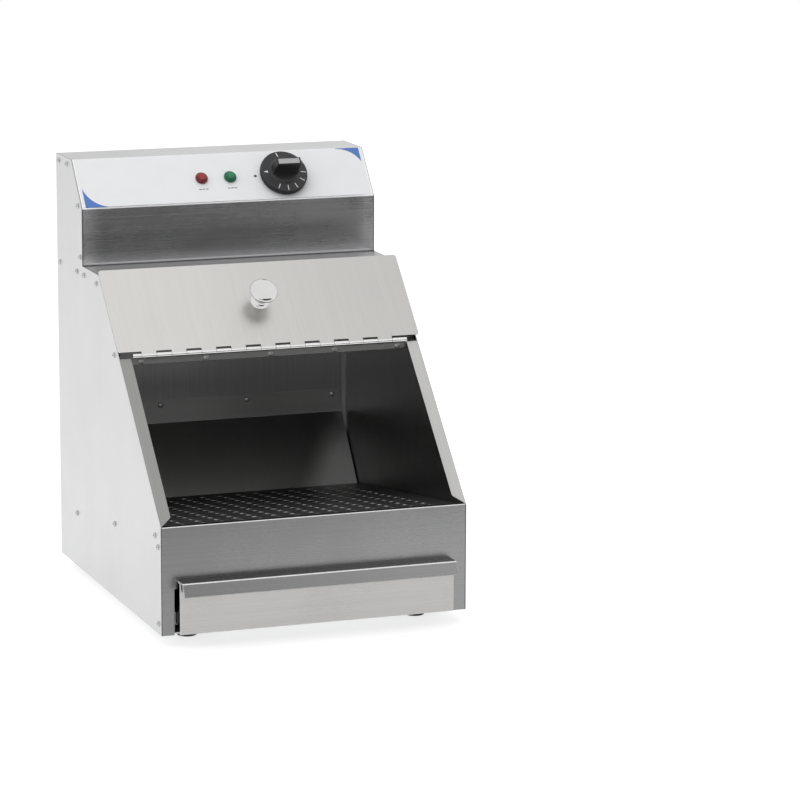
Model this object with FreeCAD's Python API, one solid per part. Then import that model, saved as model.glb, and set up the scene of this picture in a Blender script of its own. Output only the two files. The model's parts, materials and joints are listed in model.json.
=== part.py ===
# Counter-top chip warmer: a folded steel cabinet with a filling hatch, a serving mouth,
# a perforated deck that drains crumbs into a drawer, and a control box with the electrics.
# Sizes are in millimetres. While the pieces are made, X runs to the right from the middle,
# Y runs back from the front panel's face and Z runs up from the cabinet's underside.
import FreeCAD, Part
import math
import os
from FreeCAD import Placement, Vector

# Cabinet outline
cabinet_width = 345.0
cabinet_depth = 400.0
shelf_height = 351.0
shelf_run = 65.0
box_front_height = 64.0
panel_run = 41.5
panel_rise = 50.0
top_run = 64.0
front_rail_height = 67.5
foot_height = 13.0

# Sheet metal
sheet = 1.2
bend_radius = 0.8
fold_radius = 0.9
side_flange = 13.5
return_depth = 14.0
mouth_mitre = 12.0
mouth_corner_radius = 4.0
lip_length = 10.0

# Filling hatch and its piano hinge
hatch_length = 109.5
hatch_overhang = 1.0
hatch_top_overlap = 2.0
flange_below_pin = 0.5
knuckle_radius = 2.9
knuckle_pitch = 17.0
knuckle_gap = 0.3
shortest_knuckle = 4.0
pin_radius = 1.4
running_clearance = 0.05
hinge_end_gap = 1.0
tab_slot = 1.2
leaf_drop = 6.6
leaf_notch_gap = 0.7
rail_drop = 3.0
rail_height = 7.6
rail_depth = 12.0
rail_tab_depth = 24.0
rail_tab_rise = 5.0
rail_screw_inset = 18.3
rail_screw_rise = 1.7
hinge_rivet_inset = 10.0
hinge_rivet_count = 5
buffer_radius = 4.5
buffer_taper = 0.8
buffer_inset = 26.0
hatch_rest_gap = 0.3

# Hatch knob
knob_head_radius = 15.8
knob_head_height = 9.5
knob_rim_height = 3.0
knob_neck_radius = 5.5
knob_base_radius = 10.8
knob_length = 27.0
knob_rise = 2.25
knob_screw_radius = 2.4
knob_screw_depth = 12.0

# Perforated deck and what carries it
deck_front_gap = 3.0
deck_slope = 0.139
deck_lip = 2.4
deck_side_gap = 1.0
deck_seat_gap = 0.3
hole_radius = 3.0
hole_pitch_x = 21.5
hole_pitch_y = 21.4
deck_front_margin = 20.0
deck_side_margin = 25.0
runner_flange = 14.0
runner_web = 17.0

# Chute at the rear of the bay
band_height = 27.0
band_foot_height = 145.0
chute_gap = 1.5
chute_foot = 12.0
chute_run = 58.1
band_rivet_drop = 6.0
chute_rivet_inset = 13.3
chute_rivet_count = 4

# Crumb drawer
drawer_opening_margin = 14.5
drawer_opening_height = 50.0
drawer_side_gap = 3.5
drawer_front_bottom = 2.0
drawer_overlap = 8.2
drawer_proud = 10.0
drawer_return = 3.5
drawer_stop_gap = 0.6
handle_reach = 8.0
handle_droop = 7.6
handle_fall = 13.2
pan_side_gap = 7.0
pan_top_gap = 3.8
pan_rear_gap = 11.5
pan_clearance = 0.6
pan_seat_gap = 0.2
runner_ledge_height = 8.0
runner_ledge = 11.0
runner_shoulder_height = 20.0

# Feet
foot_radius = 11.5
foot_taper = 1.5
foot_inset_x = 42.0
foot_inset_y = 46.0
foot_recess_radius = 5.0
foot_recess_depth = 6.0

# Fasteners
screw_radius = 1.75
screw_head_radius = 3.1
screw_head_height = 1.6
screw_length = 7.0
screw_fit = 0.05
rivet_radius = 1.6
rivet_head_radius = 3.2
rivet_head_height = 1.3
rivet_tail = 1.0
foot_screw_radius = 2.0
foot_nut_flats = 7.0
foot_nut_height = 3.2
runner_screw_drop = 9.0
runner_screw_front_inset = 4.8
runner_screw_rear_gap = 11.7
rear_screw_inset = 62.5
base_rivet_front_inset = 30.0
base_rivet_rear_inset = 25.0
base_rivet_count = 4

# Control panel
fascia_thickness = 0.5
fascia_edge = 1.5
fascia_top_edge = 0.4
control_row = 32.5
red_lamp_x = -27.0
green_lamp_x = 6.7
index_dot_x = 36.8
dial_x = 69.5
lens_radius = 7.2
lens_step_radius = 5.4
lens_flange = 2.2
lens_edge = 0.6
lens_length = 5.2
lamp_body_radius = 4.8
lamp_body_length = 26.0
lamp_tag_length = 7.0
lamp_tag_width = 2.8
lamp_tag_spread = 4.8
lamp_collar_rim = 2.2
lamp_collar_height = 3.0
index_dot_radius = 1.6

# Dial and thermostat
dial_radius = 27.4
dial_rim_height = 6.4
dial_skirt_height = 8.4
dial_boss_radius = 17.0
dial_lift = 0.6
dial_foot_edge = 0.8
dial_rim_bevel = 1.2
dial_rim_bevel_height = 1.0
dial_boss_bevel = 1.5
dial_boss_height = 2.0
dial_notch_radius = 0.7
dial_notches = 48
grip_length = 31.0
grip_width = 11.0
grip_height = 28.5
grip_draft = 1.0
insert_length = 25.0
insert_width = 6.5
insert_depth = 1.0
insert_proud = 0.4
spindle_radius = 3.0
spindle_depth = 9.5
spindle_seat_depth = 8.0
spindle_end_gap = 0.3
thermostat_width = 40.0
thermostat_height = 34.0
thermostat_depth = 24.0
thermostat_screw_spread = 28.0
thermostat_tag_width = 6.0
thermostat_tag_spread = 20.0
thermostat_tag_length = 7.5
tag_thickness = 0.8
tag_overlap = 0.5
capillary_radius = 1.0
capillary_bend = 6.0
grommet_radius = 4.0
grommet_flange = 2.0
bulb_radius = 3.0
bulb_length = 76.0
bulb_lead = 25.0
bulb_drop = 5.0
bulb_gap = 8.0
clip_width = 6.0
clip_thickness = 1.0

# Heating element under the roof
element_radius = 4.0
element_drop = 22.0
element_bend = 16.0
element_left_inset = 64.5
element_right_inset = 60.5
element_front_inset = 64.0
element_rear_inset = 24.0
element_stud_radius = 2.5
element_stud_length = 12.0
element_leg_rise = 9.0
element_nut_flats = 14.0
element_nut_height = 5.0
element_nut_flange_radius = 9.0
element_nut_flange = 1.2
reflector_depth = 8.0
reflector_margin = 22.0
reflector_end_margin = 24.0
reflector_rear_margin = 10.0
reflector_flare = 4.0
reflector_hole_gap = 0.4
hanger_left_inset = 48.0
hanger_capillary_gap = 33.5
hanger_thickness = 1.2
hanger_flange = 8.0
hanger_margin = 8.0
hanger_rim = 9.0
guard_drop = 16.0
guard_wire_radius = 1.5
guard_bars = 7
guard_bar_rise = 4.0
guard_side_margin = 4.0
guard_end_margin = 6.0
guard_bar_end = 1.5
guard_cross_end = 3.0
guard_weld = 0.6

# Supply side of the control box
terminal_inset_x = 114.5
terminal_inset_y = 50.0
terminal_length = 52.0
terminal_width = 20.0
terminal_height = 16.0
terminal_ways = 5
terminal_shoulder = 8.0
terminal_well_radius = 2.0
terminal_screw_inset = 4.0
wire_radius = 1.6
wire_rise = 14.0
wire_spacing = 7.0
wire_seat = 7.0
wire_lead = 9.0
wire_bend = 5.0
gland_inset = 50.5
gland_rise = 41.0
gland_bore_radius = 4.5
gland_thread_radius = 8.0
gland_flats = 22.0
gland_body_length = 7.0
gland_cap_length = 14.0
gland_nut_length = 5.0
vent_count = 9
vent_width = 3.0
vent_length = 32.0
vent_pitch = 12.0
vent_rise = 34.0

# Places that follow from the sizes above
half_width = cabinet_width / 2
inner_x = half_width - sheet
back_y = cabinet_depth - sheet
top_front_y = cabinet_depth - top_run
box_front_y = top_front_y - panel_run
shelf_front_y = box_front_y - shelf_run
box_front_top = shelf_height + box_front_height
cabinet_height = box_front_top + panel_rise
front_panel_height = drawer_opening_height + front_rail_height
slope_run = shelf_front_y
slope_rise = shelf_height - front_panel_height
slope_length = math.hypot(slope_run, slope_rise)
slope_up = Vector(0, slope_run / slope_length, slope_rise / slope_length)
slope_out = Vector(0, -slope_up.z, slope_up.y)
slope_top = Vector(0, shelf_front_y, shelf_height)
panel_length = math.hypot(panel_run, panel_rise)
panel_up = Vector(0, panel_run / panel_length, panel_rise / panel_length)
panel_out = Vector(0, -panel_up.z, panel_up.y)
panel_foot = Vector(0, box_front_y, box_front_top)
roof_underside = shelf_height - sheet
base_top = 2 * sheet
hinge_offset = knuckle_radius + 0.2
hinge_down = hatch_length + hatch_top_overlap
hatch_width = cabinet_width + 2 * hatch_overhang
hinge_length = cabinet_width - 2 * (side_flange + hinge_end_gap)
deck_front_y = sheet + deck_front_gap
deck_front_height = front_panel_height - sheet
chute_foot_y = back_y - chute_run
deck_length = chute_foot_y - chute_gap - deck_front_y
runner_front_y = sheet + return_depth + 1.0
ledge_top = runner_ledge_height
drawer_opening_width = cabinet_width - 2 * drawer_opening_margin
drawer_front_width = drawer_opening_width - 2 * drawer_side_gap
drawer_front_height = drawer_opening_height + drawer_overlap - drawer_front_bottom
pan_front_y = sheet - drawer_proud
pan_bottom = ledge_top + pan_seat_gap
pan_width = drawer_opening_width - 2 * pan_side_gap
pan_height = drawer_opening_height - pan_top_gap - pan_bottom
pan_depth = chute_foot_y - chute_foot - pan_rear_gap - pan_front_y
element_left_x = element_left_inset - half_width
element_right_x = half_width - element_right_inset
element_front_y = cabinet_depth - element_front_inset
element_rear_y = cabinet_depth - element_rear_inset
terminal_x = terminal_inset_x - half_width
terminal_y = cabinet_depth - terminal_inset_y
terminal_pitch = (terminal_length - 2 * terminal_shoulder) / terminal_ways
terminal_step_level = shelf_height + terminal_height * 0.6
gland_x = gland_inset - half_width
gland_height = shelf_height + gland_rise
vent_height = shelf_height + vent_rise
hatch_face = hinge_offset + knuckle_radius
gland_out = gland_body_length + gland_cap_length
frame_front = -(drawer_proud + handle_reach + handle_droop)
frame_back = cabinet_depth + gland_out
frame_centre_y = (frame_front + frame_back) / 2


def box(x0, x1, y0, y1, z0, z1):
    """Block between two opposite corners."""
    return Part.makeBox(x1 - x0, y1 - y0, z1 - z0, Vector(x0, y0, z0))


def rod(start, end, radius):
    """Round bar from one point to another."""
    axis = end - start
    return Part.makeCylinder(radius, axis.Length, start, axis)


def fuse(shapes):
    """One clean solid from pieces that overlap or share faces."""
    return shapes[0].multiFuse(shapes[1:]).removeSplitter()


def both_sides(shape):
    """The shape and its mirror image across the middle plane."""
    return Part.makeCompound([shape, shape.mirror(Vector(0, 0, 0), Vector(1, 0, 0))])


def rounded_edges(points, radii):
    """Edges of a path through points, with a tangent arc at each inner point that has a radius."""
    edges = []
    start = points[0]
    for before, corner, after, radius in zip(points, points[1:], points[2:], radii[1:]):
        inward = (corner - before).normalize()
        outward = (after - corner).normalize()
        half_turn = inward.getAngle(outward) / 2
        if radius <= 0 or half_turn < 1e-6:
            edges.append(Part.LineSegment(start, corner).toShape())
            start = corner
            continue
        reach = radius * math.tan(half_turn)
        towards_centre = (outward - inward).normalize()
        centre = corner + towards_centre * (radius / math.cos(half_turn))
        arc_start = corner - inward * reach
        arc_end = corner + outward * reach
        arc_middle = centre - towards_centre * radius
        if (arc_start - start).Length > 1e-6:
            edges.append(Part.LineSegment(start, arc_start).toShape())
        edges.append(Part.Arc(arc_start, arc_middle, arc_end).toShape())
        start = arc_end
    edges.append(Part.LineSegment(start, points[-1]).toShape())
    return edges


def flat_offset(points, distance):
    """Path moved to the left of its travel, with mitred corners, in two coordinates."""
    moved = []
    for index, (u, v) in enumerate(points):
        before = points[max(index - 1, 0)]
        here = points[min(index, len(points) - 2)] if index == 0 else points[index]
        after = points[min(index + 1, len(points) - 1)]
        onward = (after[0] - u, after[1] - v)
        first = (here[0] - before[0], here[1] - before[1]) if index > 0 else onward
        second = onward if index < len(points) - 1 else first
        size_first = math.hypot(*first)
        size_second = math.hypot(*second)
        normal_first = (-first[1] / size_first, first[0] / size_first)
        normal_second = (-second[1] / size_second, second[0] / size_second)
        spread = 1 + normal_first[0] * normal_second[0] + normal_first[1] * normal_second[1]
        step_u = (normal_first[0] + normal_second[0]) * distance / spread
        step_v = (normal_first[1] + normal_second[1]) * distance / spread
        moved.append((u + step_u, v + step_v))
    return moved


def folded_sheet(points, across, up, origin, run, side=1, thickness=sheet):
    """Folded sheet: a section along a path, run out along a vector.

    The path gives one face of the sheet, and side is 1 where the metal lies to the left of its
    travel and -1 where it lies to the right.
    """
    far = flat_offset(points, side * thickness)
    near_radii = [0.0]
    far_radii = [0.0]
    for before, corner, after in zip(points, points[1:], points[2:]):
        first = (corner[0] - before[0], corner[1] - before[1])
        second = (after[0] - corner[0], after[1] - corner[1])
        turn = (first[0] * second[1] - first[1] * second[0]) * side
        near_radii.append(bend_radius + thickness if turn > 0 else bend_radius)
        far_radii.append(bend_radius if turn > 0 else bend_radius + thickness)
    near_radii.append(0.0)
    far_radii.append(0.0)
    near_places = [origin + across * u + up * v for u, v in points]
    far_places = [origin + across * u + up * v for u, v in far]
    near_edges = rounded_edges(near_places, near_radii)
    far_edges = rounded_edges(far_places, far_radii)
    closing = [
        Part.LineSegment(near_places[0], far_places[0]).toShape(),
        Part.LineSegment(near_places[-1], far_places[-1]).toShape(),
    ]
    wire = Part.Wire(Part.__sortEdges__(near_edges + far_edges + closing))
    return Part.Face(wire).extrude(run)


def cross_sheet(points, x0, x1, side=1):
    """Sheet folded along lines that run from left to right, its section given as (y, z) points."""
    return folded_sheet(
        points, Vector(0, 1, 0), Vector(0, 0, 1), Vector(x0, 0, 0), Vector(x1 - x0, 0, 0), side
    )


def profile_plate(points, x0, x1):
    """Flat plate square to X whose outline is a polygon of (y, z) points."""
    corners = [Vector(x0, y, z) for y, z in points]
    return Part.Face(Part.makePolygon(corners + corners[:1])).extrude(Vector(x1 - x0, 0, 0))


def local_plate(points, placement, bottom, top):
    """Plate with a polygon outline, in the frame of a placement, between two levels."""
    corners = [Vector(x, y, bottom) for x, y in points]
    plate = Part.Face(Part.makePolygon(corners + corners[:1])).extrude(Vector(0, 0, top - bottom))
    return placed(plate, placement)


def frame_at(origin, right, up):
    """Placement whose local X is right, Y is up and Z stands out of the surface."""
    out = right.cross(up)
    matrix = FreeCAD.Matrix(
        right.x, up.x, out.x, origin.x,
        right.y, up.y, out.y, origin.y,
        right.z, up.z, out.z, origin.z,
        0, 0, 0, 1)
    return Placement(matrix)


def placed(shape, placement):
    """Copy of a shape moved by a placement."""
    moved = shape.copy()
    moved.Placement = placement.multiply(shape.Placement)
    return moved


def slope_frame(x, down, lift=0.0):
    """Frame on the plane of the mouth and the hatch, down from the shelf's front edge."""
    return frame_at(
        slope_top - slope_up * down + slope_out * lift + Vector(x, 0, 0), Vector(1, 0, 0), slope_up
    )


def panel_frame(x, up, lift=0.0):
    """Frame on the sloping control panel, up from its lower edge."""
    return frame_at(
        panel_foot + panel_up * up + panel_out * lift + Vector(x, 0, 0), Vector(1, 0, 0), panel_up
    )


def round_fold(shape, ends, radius):
    """Round the edge of a shape that lies between two points."""
    start, end = ends
    line = (end - start).normalize()
    chosen = []
    for edge in shape.Edges:
        if len(edge.Vertexes) != 2:
            continue
        offsets = [(vertex.Point - start).cross(line).Length for vertex in edge.Vertexes]
        along = [(vertex.Point - start).dot(line) for vertex in edge.Vertexes]
        if max(offsets) < 0.01 and min(along) > -0.01 and max(along) < (end - start).Length + 0.01:
            chosen.append(edge)
    return shape.makeFillet(radius, chosen)


def tube(points, bend, radius):
    """Round tube along straight runs joined by tangent arcs."""
    path = Part.Wire(rounded_edges(points, [bend] * len(points)))
    section = Part.Wire(Part.makeCircle(radius, points[0], points[1] - points[0]))
    return path.makePipeShell([section], True, False)


def revolve_profile(points):
    """Solid turned about local Z from a closed outline of (radius, height) points."""
    corners = [Vector(radius, 0, height) for radius, height in points]
    face = Part.Face(Part.makePolygon(corners + corners[:1]))
    return face.revolve(Vector(0, 0, 0), Vector(0, 0, 1), 360)


def hex_prism(flats, length):
    """Hexagonal prism about local Z, standing on its XY plane."""
    radius = flats / math.sqrt(3)
    angles = [math.radians(60 * step) for step in range(6)]
    corners = [Vector(radius * math.cos(angle), radius * math.sin(angle), 0) for angle in angles]
    return Part.Face(Part.makePolygon(corners + corners[:1])).extrude(Vector(0, 0, length))


def pan_screw(tip, direction, length):
    """Pan-head screw: its shank's tip direction, its head seated at the given point."""
    shank = rod(tip, tip + direction * length, screw_radius)
    head = rod(tip, tip - direction * screw_head_height, screw_head_radius)
    circles = [edge for edge in head.Edges if edge.Closed]
    rim = [edge for edge in circles if (edge.CenterOfMass - tip).dot(direction) < -1e-3]
    return fuse([head.makeFillet(screw_head_height * 0.45, rim[:1]), shank])


def rivet(seat, direction, grip):
    """Dome-head rivet whose shank runs from its seat along a direction."""
    dome_radius = (rivet_head_radius ** 2 + rivet_head_height ** 2) / (2 * rivet_head_height)
    half_turn = math.asin(rivet_head_radius / dome_radius) / 2
    dome_centre = rivet_head_height - dome_radius
    side = Vector(dome_radius * math.sin(half_turn), 0, dome_centre + dome_radius * math.cos(half_turn))
    crown = Vector(0, 0, rivet_head_height)
    rim = Vector(rivet_head_radius, 0, 0)
    tail = Vector(rivet_radius, 0, -grip)
    dome = Part.Arc(crown, side, rim).toShape()
    straight = Part.makePolygon([rim, Vector(rivet_radius, 0, 0), tail, Vector(0, 0, -grip), crown])
    section = Part.Face(Part.Wire([dome] + straight.Edges))
    turned = section.revolve(Vector(0, 0, 0), Vector(0, 0, 1), 360)
    return placed(turned, Placement(seat, FreeCAD.Rotation(Vector(0, 0, 1), -direction)))


def deck_height(y):
    """Height of the deck's upper face at a distance behind the front panel."""
    return deck_front_height - deck_slope * (y - deck_front_y)


# Screws that hold the side panels, as (y, z), by the piece that each one bites
rear_return_y = cabinet_depth - 11.0
roof_screw_z = roof_underside - 8.0
rear_screws = [(rear_return_y, cabinet_height - 7.0), (rear_return_y, roof_screw_z)]
cover_screws = [
    (top_front_y + 19.0, cabinet_height - 7.0), (box_front_y + 15.5, box_front_top + 1.5),
    (box_front_y + 8.0, shelf_height + 9.0),
]
roof_screws = [
    (shelf_front_y + 9.0, roof_screw_z - 1.5), (box_front_y - 6.0, roof_screw_z),
    (box_front_y + 23.0, roof_screw_z)
]
front_screws = [(10.5, front_panel_height - 23.0), (10.5, 11.0)]
runner_screw_front = runner_front_y + runner_screw_front_inset
runner_screw_rear = chute_foot_y - runner_screw_rear_gap
runner_screw_ys = (runner_screw_front, (runner_screw_front + runner_screw_rear) / 2, runner_screw_rear)
runner_screws = [(y, deck_height(y) - runner_screw_drop) for y in runner_screw_ys]
pin_centre = slope_top - slope_up * hinge_down + slope_out * hinge_offset
rail_front_y = pin_centre.y + knuckle_radius
rail_top = pin_centre.z - rail_drop
rail_screws = [(rail_front_y + rail_screw_inset, rail_top + rail_screw_rise)]
cabinet_screws = rear_screws + cover_screws + roof_screws + front_screws
side_screw_places = cabinet_screws + runner_screws + rail_screws


def side_holes(places):
    """Screw holes through the left side, for cutting."""
    radius = screw_radius + screw_fit
    return [rod(Vector(-half_width - 1, y, z), Vector(-inner_x + 6, y, z), radius) for y, z in places]


def cut_sides(shape, places):
    """Cut the same screw holes through a piece's left and right returns."""
    for hole in side_holes(places):
        shape = shape.cut(hole)
        shape = shape.cut(hole.mirror(Vector(0, 0, 0), Vector(1, 0, 0)))
    return shape


def left_side_panel():
    """Side skin with its folded mouth flange and bottom flange."""
    outline = [
        (0, 0), (0, front_panel_height), (shelf_front_y, shelf_height), (box_front_y, shelf_height),
        (box_front_y, box_front_top), (top_front_y, cabinet_height), (cabinet_depth, cabinet_height),
        (cabinet_depth, 0),
    ]
    skin = profile_plate(outline, -half_width, -inner_x)
    flange_top = hinge_down + flange_below_pin
    flange_outline = [
        (0, -flange_top), (side_flange, -flange_top), (side_flange, mouth_mitre - slope_length),
        (0, -slope_length),
    ]
    mouth_flange = local_plate(flange_outline, slope_frame(-half_width, 0), -sheet, 0)
    corner = slope_top - slope_up * (slope_length - mouth_mitre)
    corner.x = side_flange - half_width
    mouth_flange = round_fold(mouth_flange, (corner - slope_out * sheet, corner), mouth_corner_radius)
    bottom_flange = box(-half_width, -half_width + side_flange, sheet, back_y, 0, sheet)
    panel = fuse([skin, mouth_flange, bottom_flange])
    for seat in base_rivet_seats():
        panel = panel.cut(rod(seat - Vector(0, 0, 1), seat + Vector(0, 0, 3), rivet_radius + screw_fit))
    foot = Vector(-half_width, 0, front_panel_height)
    panel = round_fold(panel, (foot, slope_top + Vector(-half_width, 0, 0)), fold_radius)
    for hole in side_holes(side_screw_places):
        panel = panel.cut(hole)
    return panel


def front_panel():
    """Front panel with side returns, a hemmed top edge and the drawer's opening."""
    face = box(-inner_x, inner_x, 0, sheet, 0, front_panel_height)
    hem = box(-inner_x, inner_x, sheet, 2 * sheet, front_panel_height - 8, front_panel_height)
    left_return = box(
        -inner_x, -inner_x + sheet, 0, sheet + return_depth, base_top, front_panel_height - 14
    )
    right_return = box(
        inner_x - sheet, inner_x, 0, sheet + return_depth, base_top, front_panel_height - 14
    )
    opening = box(
        -drawer_opening_width / 2, drawer_opening_width / 2, -1, sheet + 1, -1, drawer_opening_height
    )
    panel = fuse([face, hem, left_return, right_return]).cut(opening)
    top_line = (Vector(-inner_x, 0, front_panel_height), Vector(inner_x, 0, front_panel_height))
    panel = round_fold(panel, top_line, fold_radius)
    return cut_sides(panel, front_screws)


def rear_panel():
    """Rear panel with side and top returns, cooling slots and the gland's hole."""
    top = cabinet_height - sheet
    face = box(-inner_x, inner_x, back_y, cabinet_depth, 0, top)
    left_return = box(-inner_x, -inner_x + sheet, back_y - return_depth, back_y, base_top, top)
    right_return = box(inner_x - sheet, inner_x, back_y - return_depth, back_y, base_top, top)
    top_return = box(-inner_x, inner_x, back_y - return_depth, back_y, top - sheet, top)
    panel = fuse([face, left_return, right_return, top_return])
    first_x = -vent_pitch * (vent_count - 1) / 2
    for step in range(vent_count):
        x = first_x + step * vent_pitch
        slot = box(
            x - vent_width / 2, x + vent_width / 2, back_y - 1, cabinet_depth + 1, vent_height,
            vent_height + vent_length
        )
        panel = panel.cut(slot)
    gland_foot = Vector(gland_x, back_y - 1, gland_height)
    gland_hole = rod(gland_foot, gland_foot + Vector(0, sheet + 2, 0), gland_thread_radius + screw_fit)
    panel = panel.cut(gland_hole)
    for seat in rear_screw_seats():
        panel = panel.cut(
            rod(seat + Vector(0, 1, 0), seat - Vector(0, 2 * sheet, 0), screw_radius + screw_fit)
        )
    for seat in band_rivet_seats():
        panel = panel.cut(rod(seat, seat + Vector(0, 4 * sheet, 0), rivet_radius + screw_fit))
    return cut_sides(panel, rear_screws)


def rear_screw_seats():
    """Outer seats of the screws that hold the rear panel to the base plate's upstand."""
    reach = half_width - rear_screw_inset
    return [Vector(x, cabinet_depth, base_top + 7) for x in (-reach, 0.0, reach)]


def base_plate():
    """Bottom plate on the side flanges, with an upstand at the rear."""
    plate = box(-inner_x, inner_x, sheet, back_y, sheet, base_top)
    upstand = box(
        -inner_x + return_depth, inner_x - return_depth, back_y - sheet, back_y, sheet,
        base_top + return_depth
    )
    plate = fuse([plate, upstand])
    for x, y in foot_places():
        plate = plate.cut(rod(Vector(x, y, 0), Vector(x, y, 3 * sheet), foot_screw_radius + screw_fit))
    for seat in rear_screw_seats():
        plate = plate.cut(
            rod(seat + Vector(0, 1, 0), seat - Vector(0, 4 * sheet, 0), screw_radius + screw_fit)
        )
    for seat in base_rivet_seats():
        plate = plate.cut(rod(seat, seat + Vector(0, 0, 4 * sheet), rivet_radius + screw_fit))
    return plate


def roof_shelf():
    """Roof of the bay: the shelf in front of the control box and the box's floor, in one sheet."""
    lip_end = slope_top - slope_up * lip_length
    section = [
        (lip_end.y, lip_end.z), (shelf_front_y, shelf_height), (back_y - sheet, shelf_height),
        (back_y - sheet, shelf_height + return_depth),
    ]
    roof = cross_sheet(section, -inner_x, inner_x, side=-1)
    roof = roof.cut(rear_return_corners(shelf_height - 2 * sheet, shelf_height + return_depth + 1))
    front_y = shelf_front_y + 2.0
    rear_y = back_y - return_depth - 0.5
    left_return = box(
        -inner_x, -inner_x + sheet, front_y, rear_y, roof_underside - return_depth,
        roof_underside + sheet / 2
    )
    right_return = box(
        inner_x - sheet, inner_x, front_y, rear_y, roof_underside - return_depth,
        roof_underside + sheet / 2
    )
    roof = fuse([roof, left_return, right_return])
    for x, y in element_ends():
        roof = roof.cut(roof_hole(x, y, element_radius + screw_fit))
    roof = roof.cut(roof_hole(capillary_x, capillary_y, grommet_radius + screw_fit))
    for x, y in terminal_screw_places():
        roof = roof.cut(roof_hole(x, y, screw_radius + screw_fit))
    return cut_sides(roof, roof_screws)


def roof_hole(x, y, radius):
    """Drill through the roof sheet."""
    return rod(Vector(x, y, roof_underside - 1), Vector(x, y, shelf_height + 1), radius)


def rear_return_corners(low, high):
    """Space that the rear panel's side returns need, for notching a plate that meets them."""
    notch = box(
        -inner_x - 1, -inner_x + sheet + 0.3, back_y - return_depth - 0.3, back_y + 1, low, high
    )
    return both_sides(notch)


def control_cover():
    """Cover of the control box: top, sloping panel and front, with returns at both ends."""
    section = [
        (cabinet_depth, cabinet_height), (top_front_y, cabinet_height), (box_front_y, box_front_top),
        (box_front_y, shelf_height), (box_front_y + return_depth, shelf_height),
    ]
    cover = cross_sheet(section, -inner_x, inner_x)
    rear_y = back_y - return_depth - 0.5
    rim = [
        (rear_y, cabinet_height), (top_front_y, cabinet_height), (box_front_y, box_front_top),
        (box_front_y, shelf_height + sheet)
    ]
    outer = flat_offset(rim, sheet / 2)
    inner = flat_offset(rim, return_depth)
    end_return = profile_plate(outer + inner[::-1], -inner_x, -inner_x + sheet)
    other_return = end_return.mirror(Vector(0, 0, 0), Vector(1, 0, 0))
    cover = fuse([cover, end_return, other_return])
    for x in (red_lamp_x, green_lamp_x):
        cover = cover.cut(panel_hole(x, lamp_body_radius + screw_fit))
    cover = cover.cut(panel_hole(dial_x, spindle_radius + 1))
    for x in thermostat_screw_xs():
        cover = cover.cut(panel_hole(x, screw_radius + screw_fit))
    return cut_sides(cover, cover_screws)


def panel_hole(x, radius):
    """Drill through the control panel on its row of controls."""
    return placed(Part.makeCylinder(radius, 6, Vector(0, 0, -3)), panel_frame(x, control_row))


def thermostat_screw_xs():
    """Places of the thermostat's two screws along the row, hidden by the dial's skirt."""
    return [dial_x - thermostat_screw_spread / 2, dial_x + thermostat_screw_spread / 2]


def control_fascia():
    """Printed label plate on the control panel."""
    edge = fascia_edge
    top = panel_length - fascia_top_edge
    outline = [(-inner_x + 1, edge), (inner_x - 1, edge), (inner_x - 1, top), (-inner_x + 1, top)]
    fascia = local_plate(outline, panel_frame(0, 0), 0, fascia_thickness)
    for x in (red_lamp_x, green_lamp_x):
        fascia = fascia.cut(panel_hole(x, lamp_body_radius + screw_fit))
    fascia = fascia.cut(panel_hole(dial_x, spindle_radius + 1))
    for x in thermostat_screw_xs():
        fascia = fascia.cut(panel_hole(x, screw_head_radius + 0.3))
    return fascia


def index_dot():
    """Small raised dot that the dial's mark points at."""
    dot = Part.makeCylinder(index_dot_radius, 0.3)
    return placed(dot, panel_frame(index_dot_x, control_row, fascia_thickness))


# Knuckles run from the left end: a short fixed one, then full ones, moving and fixed in turn
full_knuckles = 2 * int((hinge_length - shortest_knuckle) / (2 * knuckle_pitch))
first_knuckle = hinge_length - full_knuckles * knuckle_pitch


def knuckle_spans(fixed):
    """Start and end in X of the fixed or the moving knuckles."""
    spans = []
    start = -hinge_length / 2
    for index in range(full_knuckles + 1):
        length = knuckle_pitch if index else first_knuckle
        if (index % 2 == 0) == fixed:
            spans.append((start + knuckle_gap / 2, start + length - knuckle_gap / 2))
        start += length
    return spans


def knuckle(span):
    """One rolled knuckle about the hinge pin."""
    x0, x1 = span
    start = Vector(x0, pin_centre.y, pin_centre.z)
    end = Vector(x1, pin_centre.y, pin_centre.z)
    return rod(start, end, knuckle_radius)


def pin_bore(clearance):
    """The hinge pin's bore through all knuckles, for cutting."""
    reach = hinge_length / 2 + 1
    start = Vector(-reach, pin_centre.y, pin_centre.z)
    return rod(start, start + Vector(2 * reach, 0, 0), pin_radius + clearance)


def hatch_door():
    """Hatch sheet with the knuckles rolled from tabs on its lower edge."""
    low = -(hinge_down - knuckle_radius - tab_slot)
    outline = [
        (-hatch_width / 2, low), (hatch_width / 2, low), (hatch_width / 2, hatch_top_overlap),
        (-hatch_width / 2, hatch_top_overlap)
    ]
    door = local_plate(outline, slope_frame(0, 0), hatch_face - sheet, hatch_face)
    pieces = [door]
    for span in knuckle_spans(fixed=False):
        tab = [(span[0], -hinge_down), (span[1], -hinge_down), (span[1], low + 1), (span[0], low + 1)]
        pieces.append(local_plate(tab, slope_frame(0, 0), hatch_face - sheet, hatch_face))
        pieces.append(knuckle(span))
    door = fuse(pieces).cut(pin_bore(running_clearance))
    screw_hole = rod(Vector(0, 0, -sheet), Vector(0, 0, sheet), knob_screw_radius + screw_fit)
    return door.cut(placed(screw_hole, slope_frame(0, knob_down, hatch_face)))


knob_down = (hatch_length - hatch_top_overlap) / 2 - knob_rise


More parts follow.
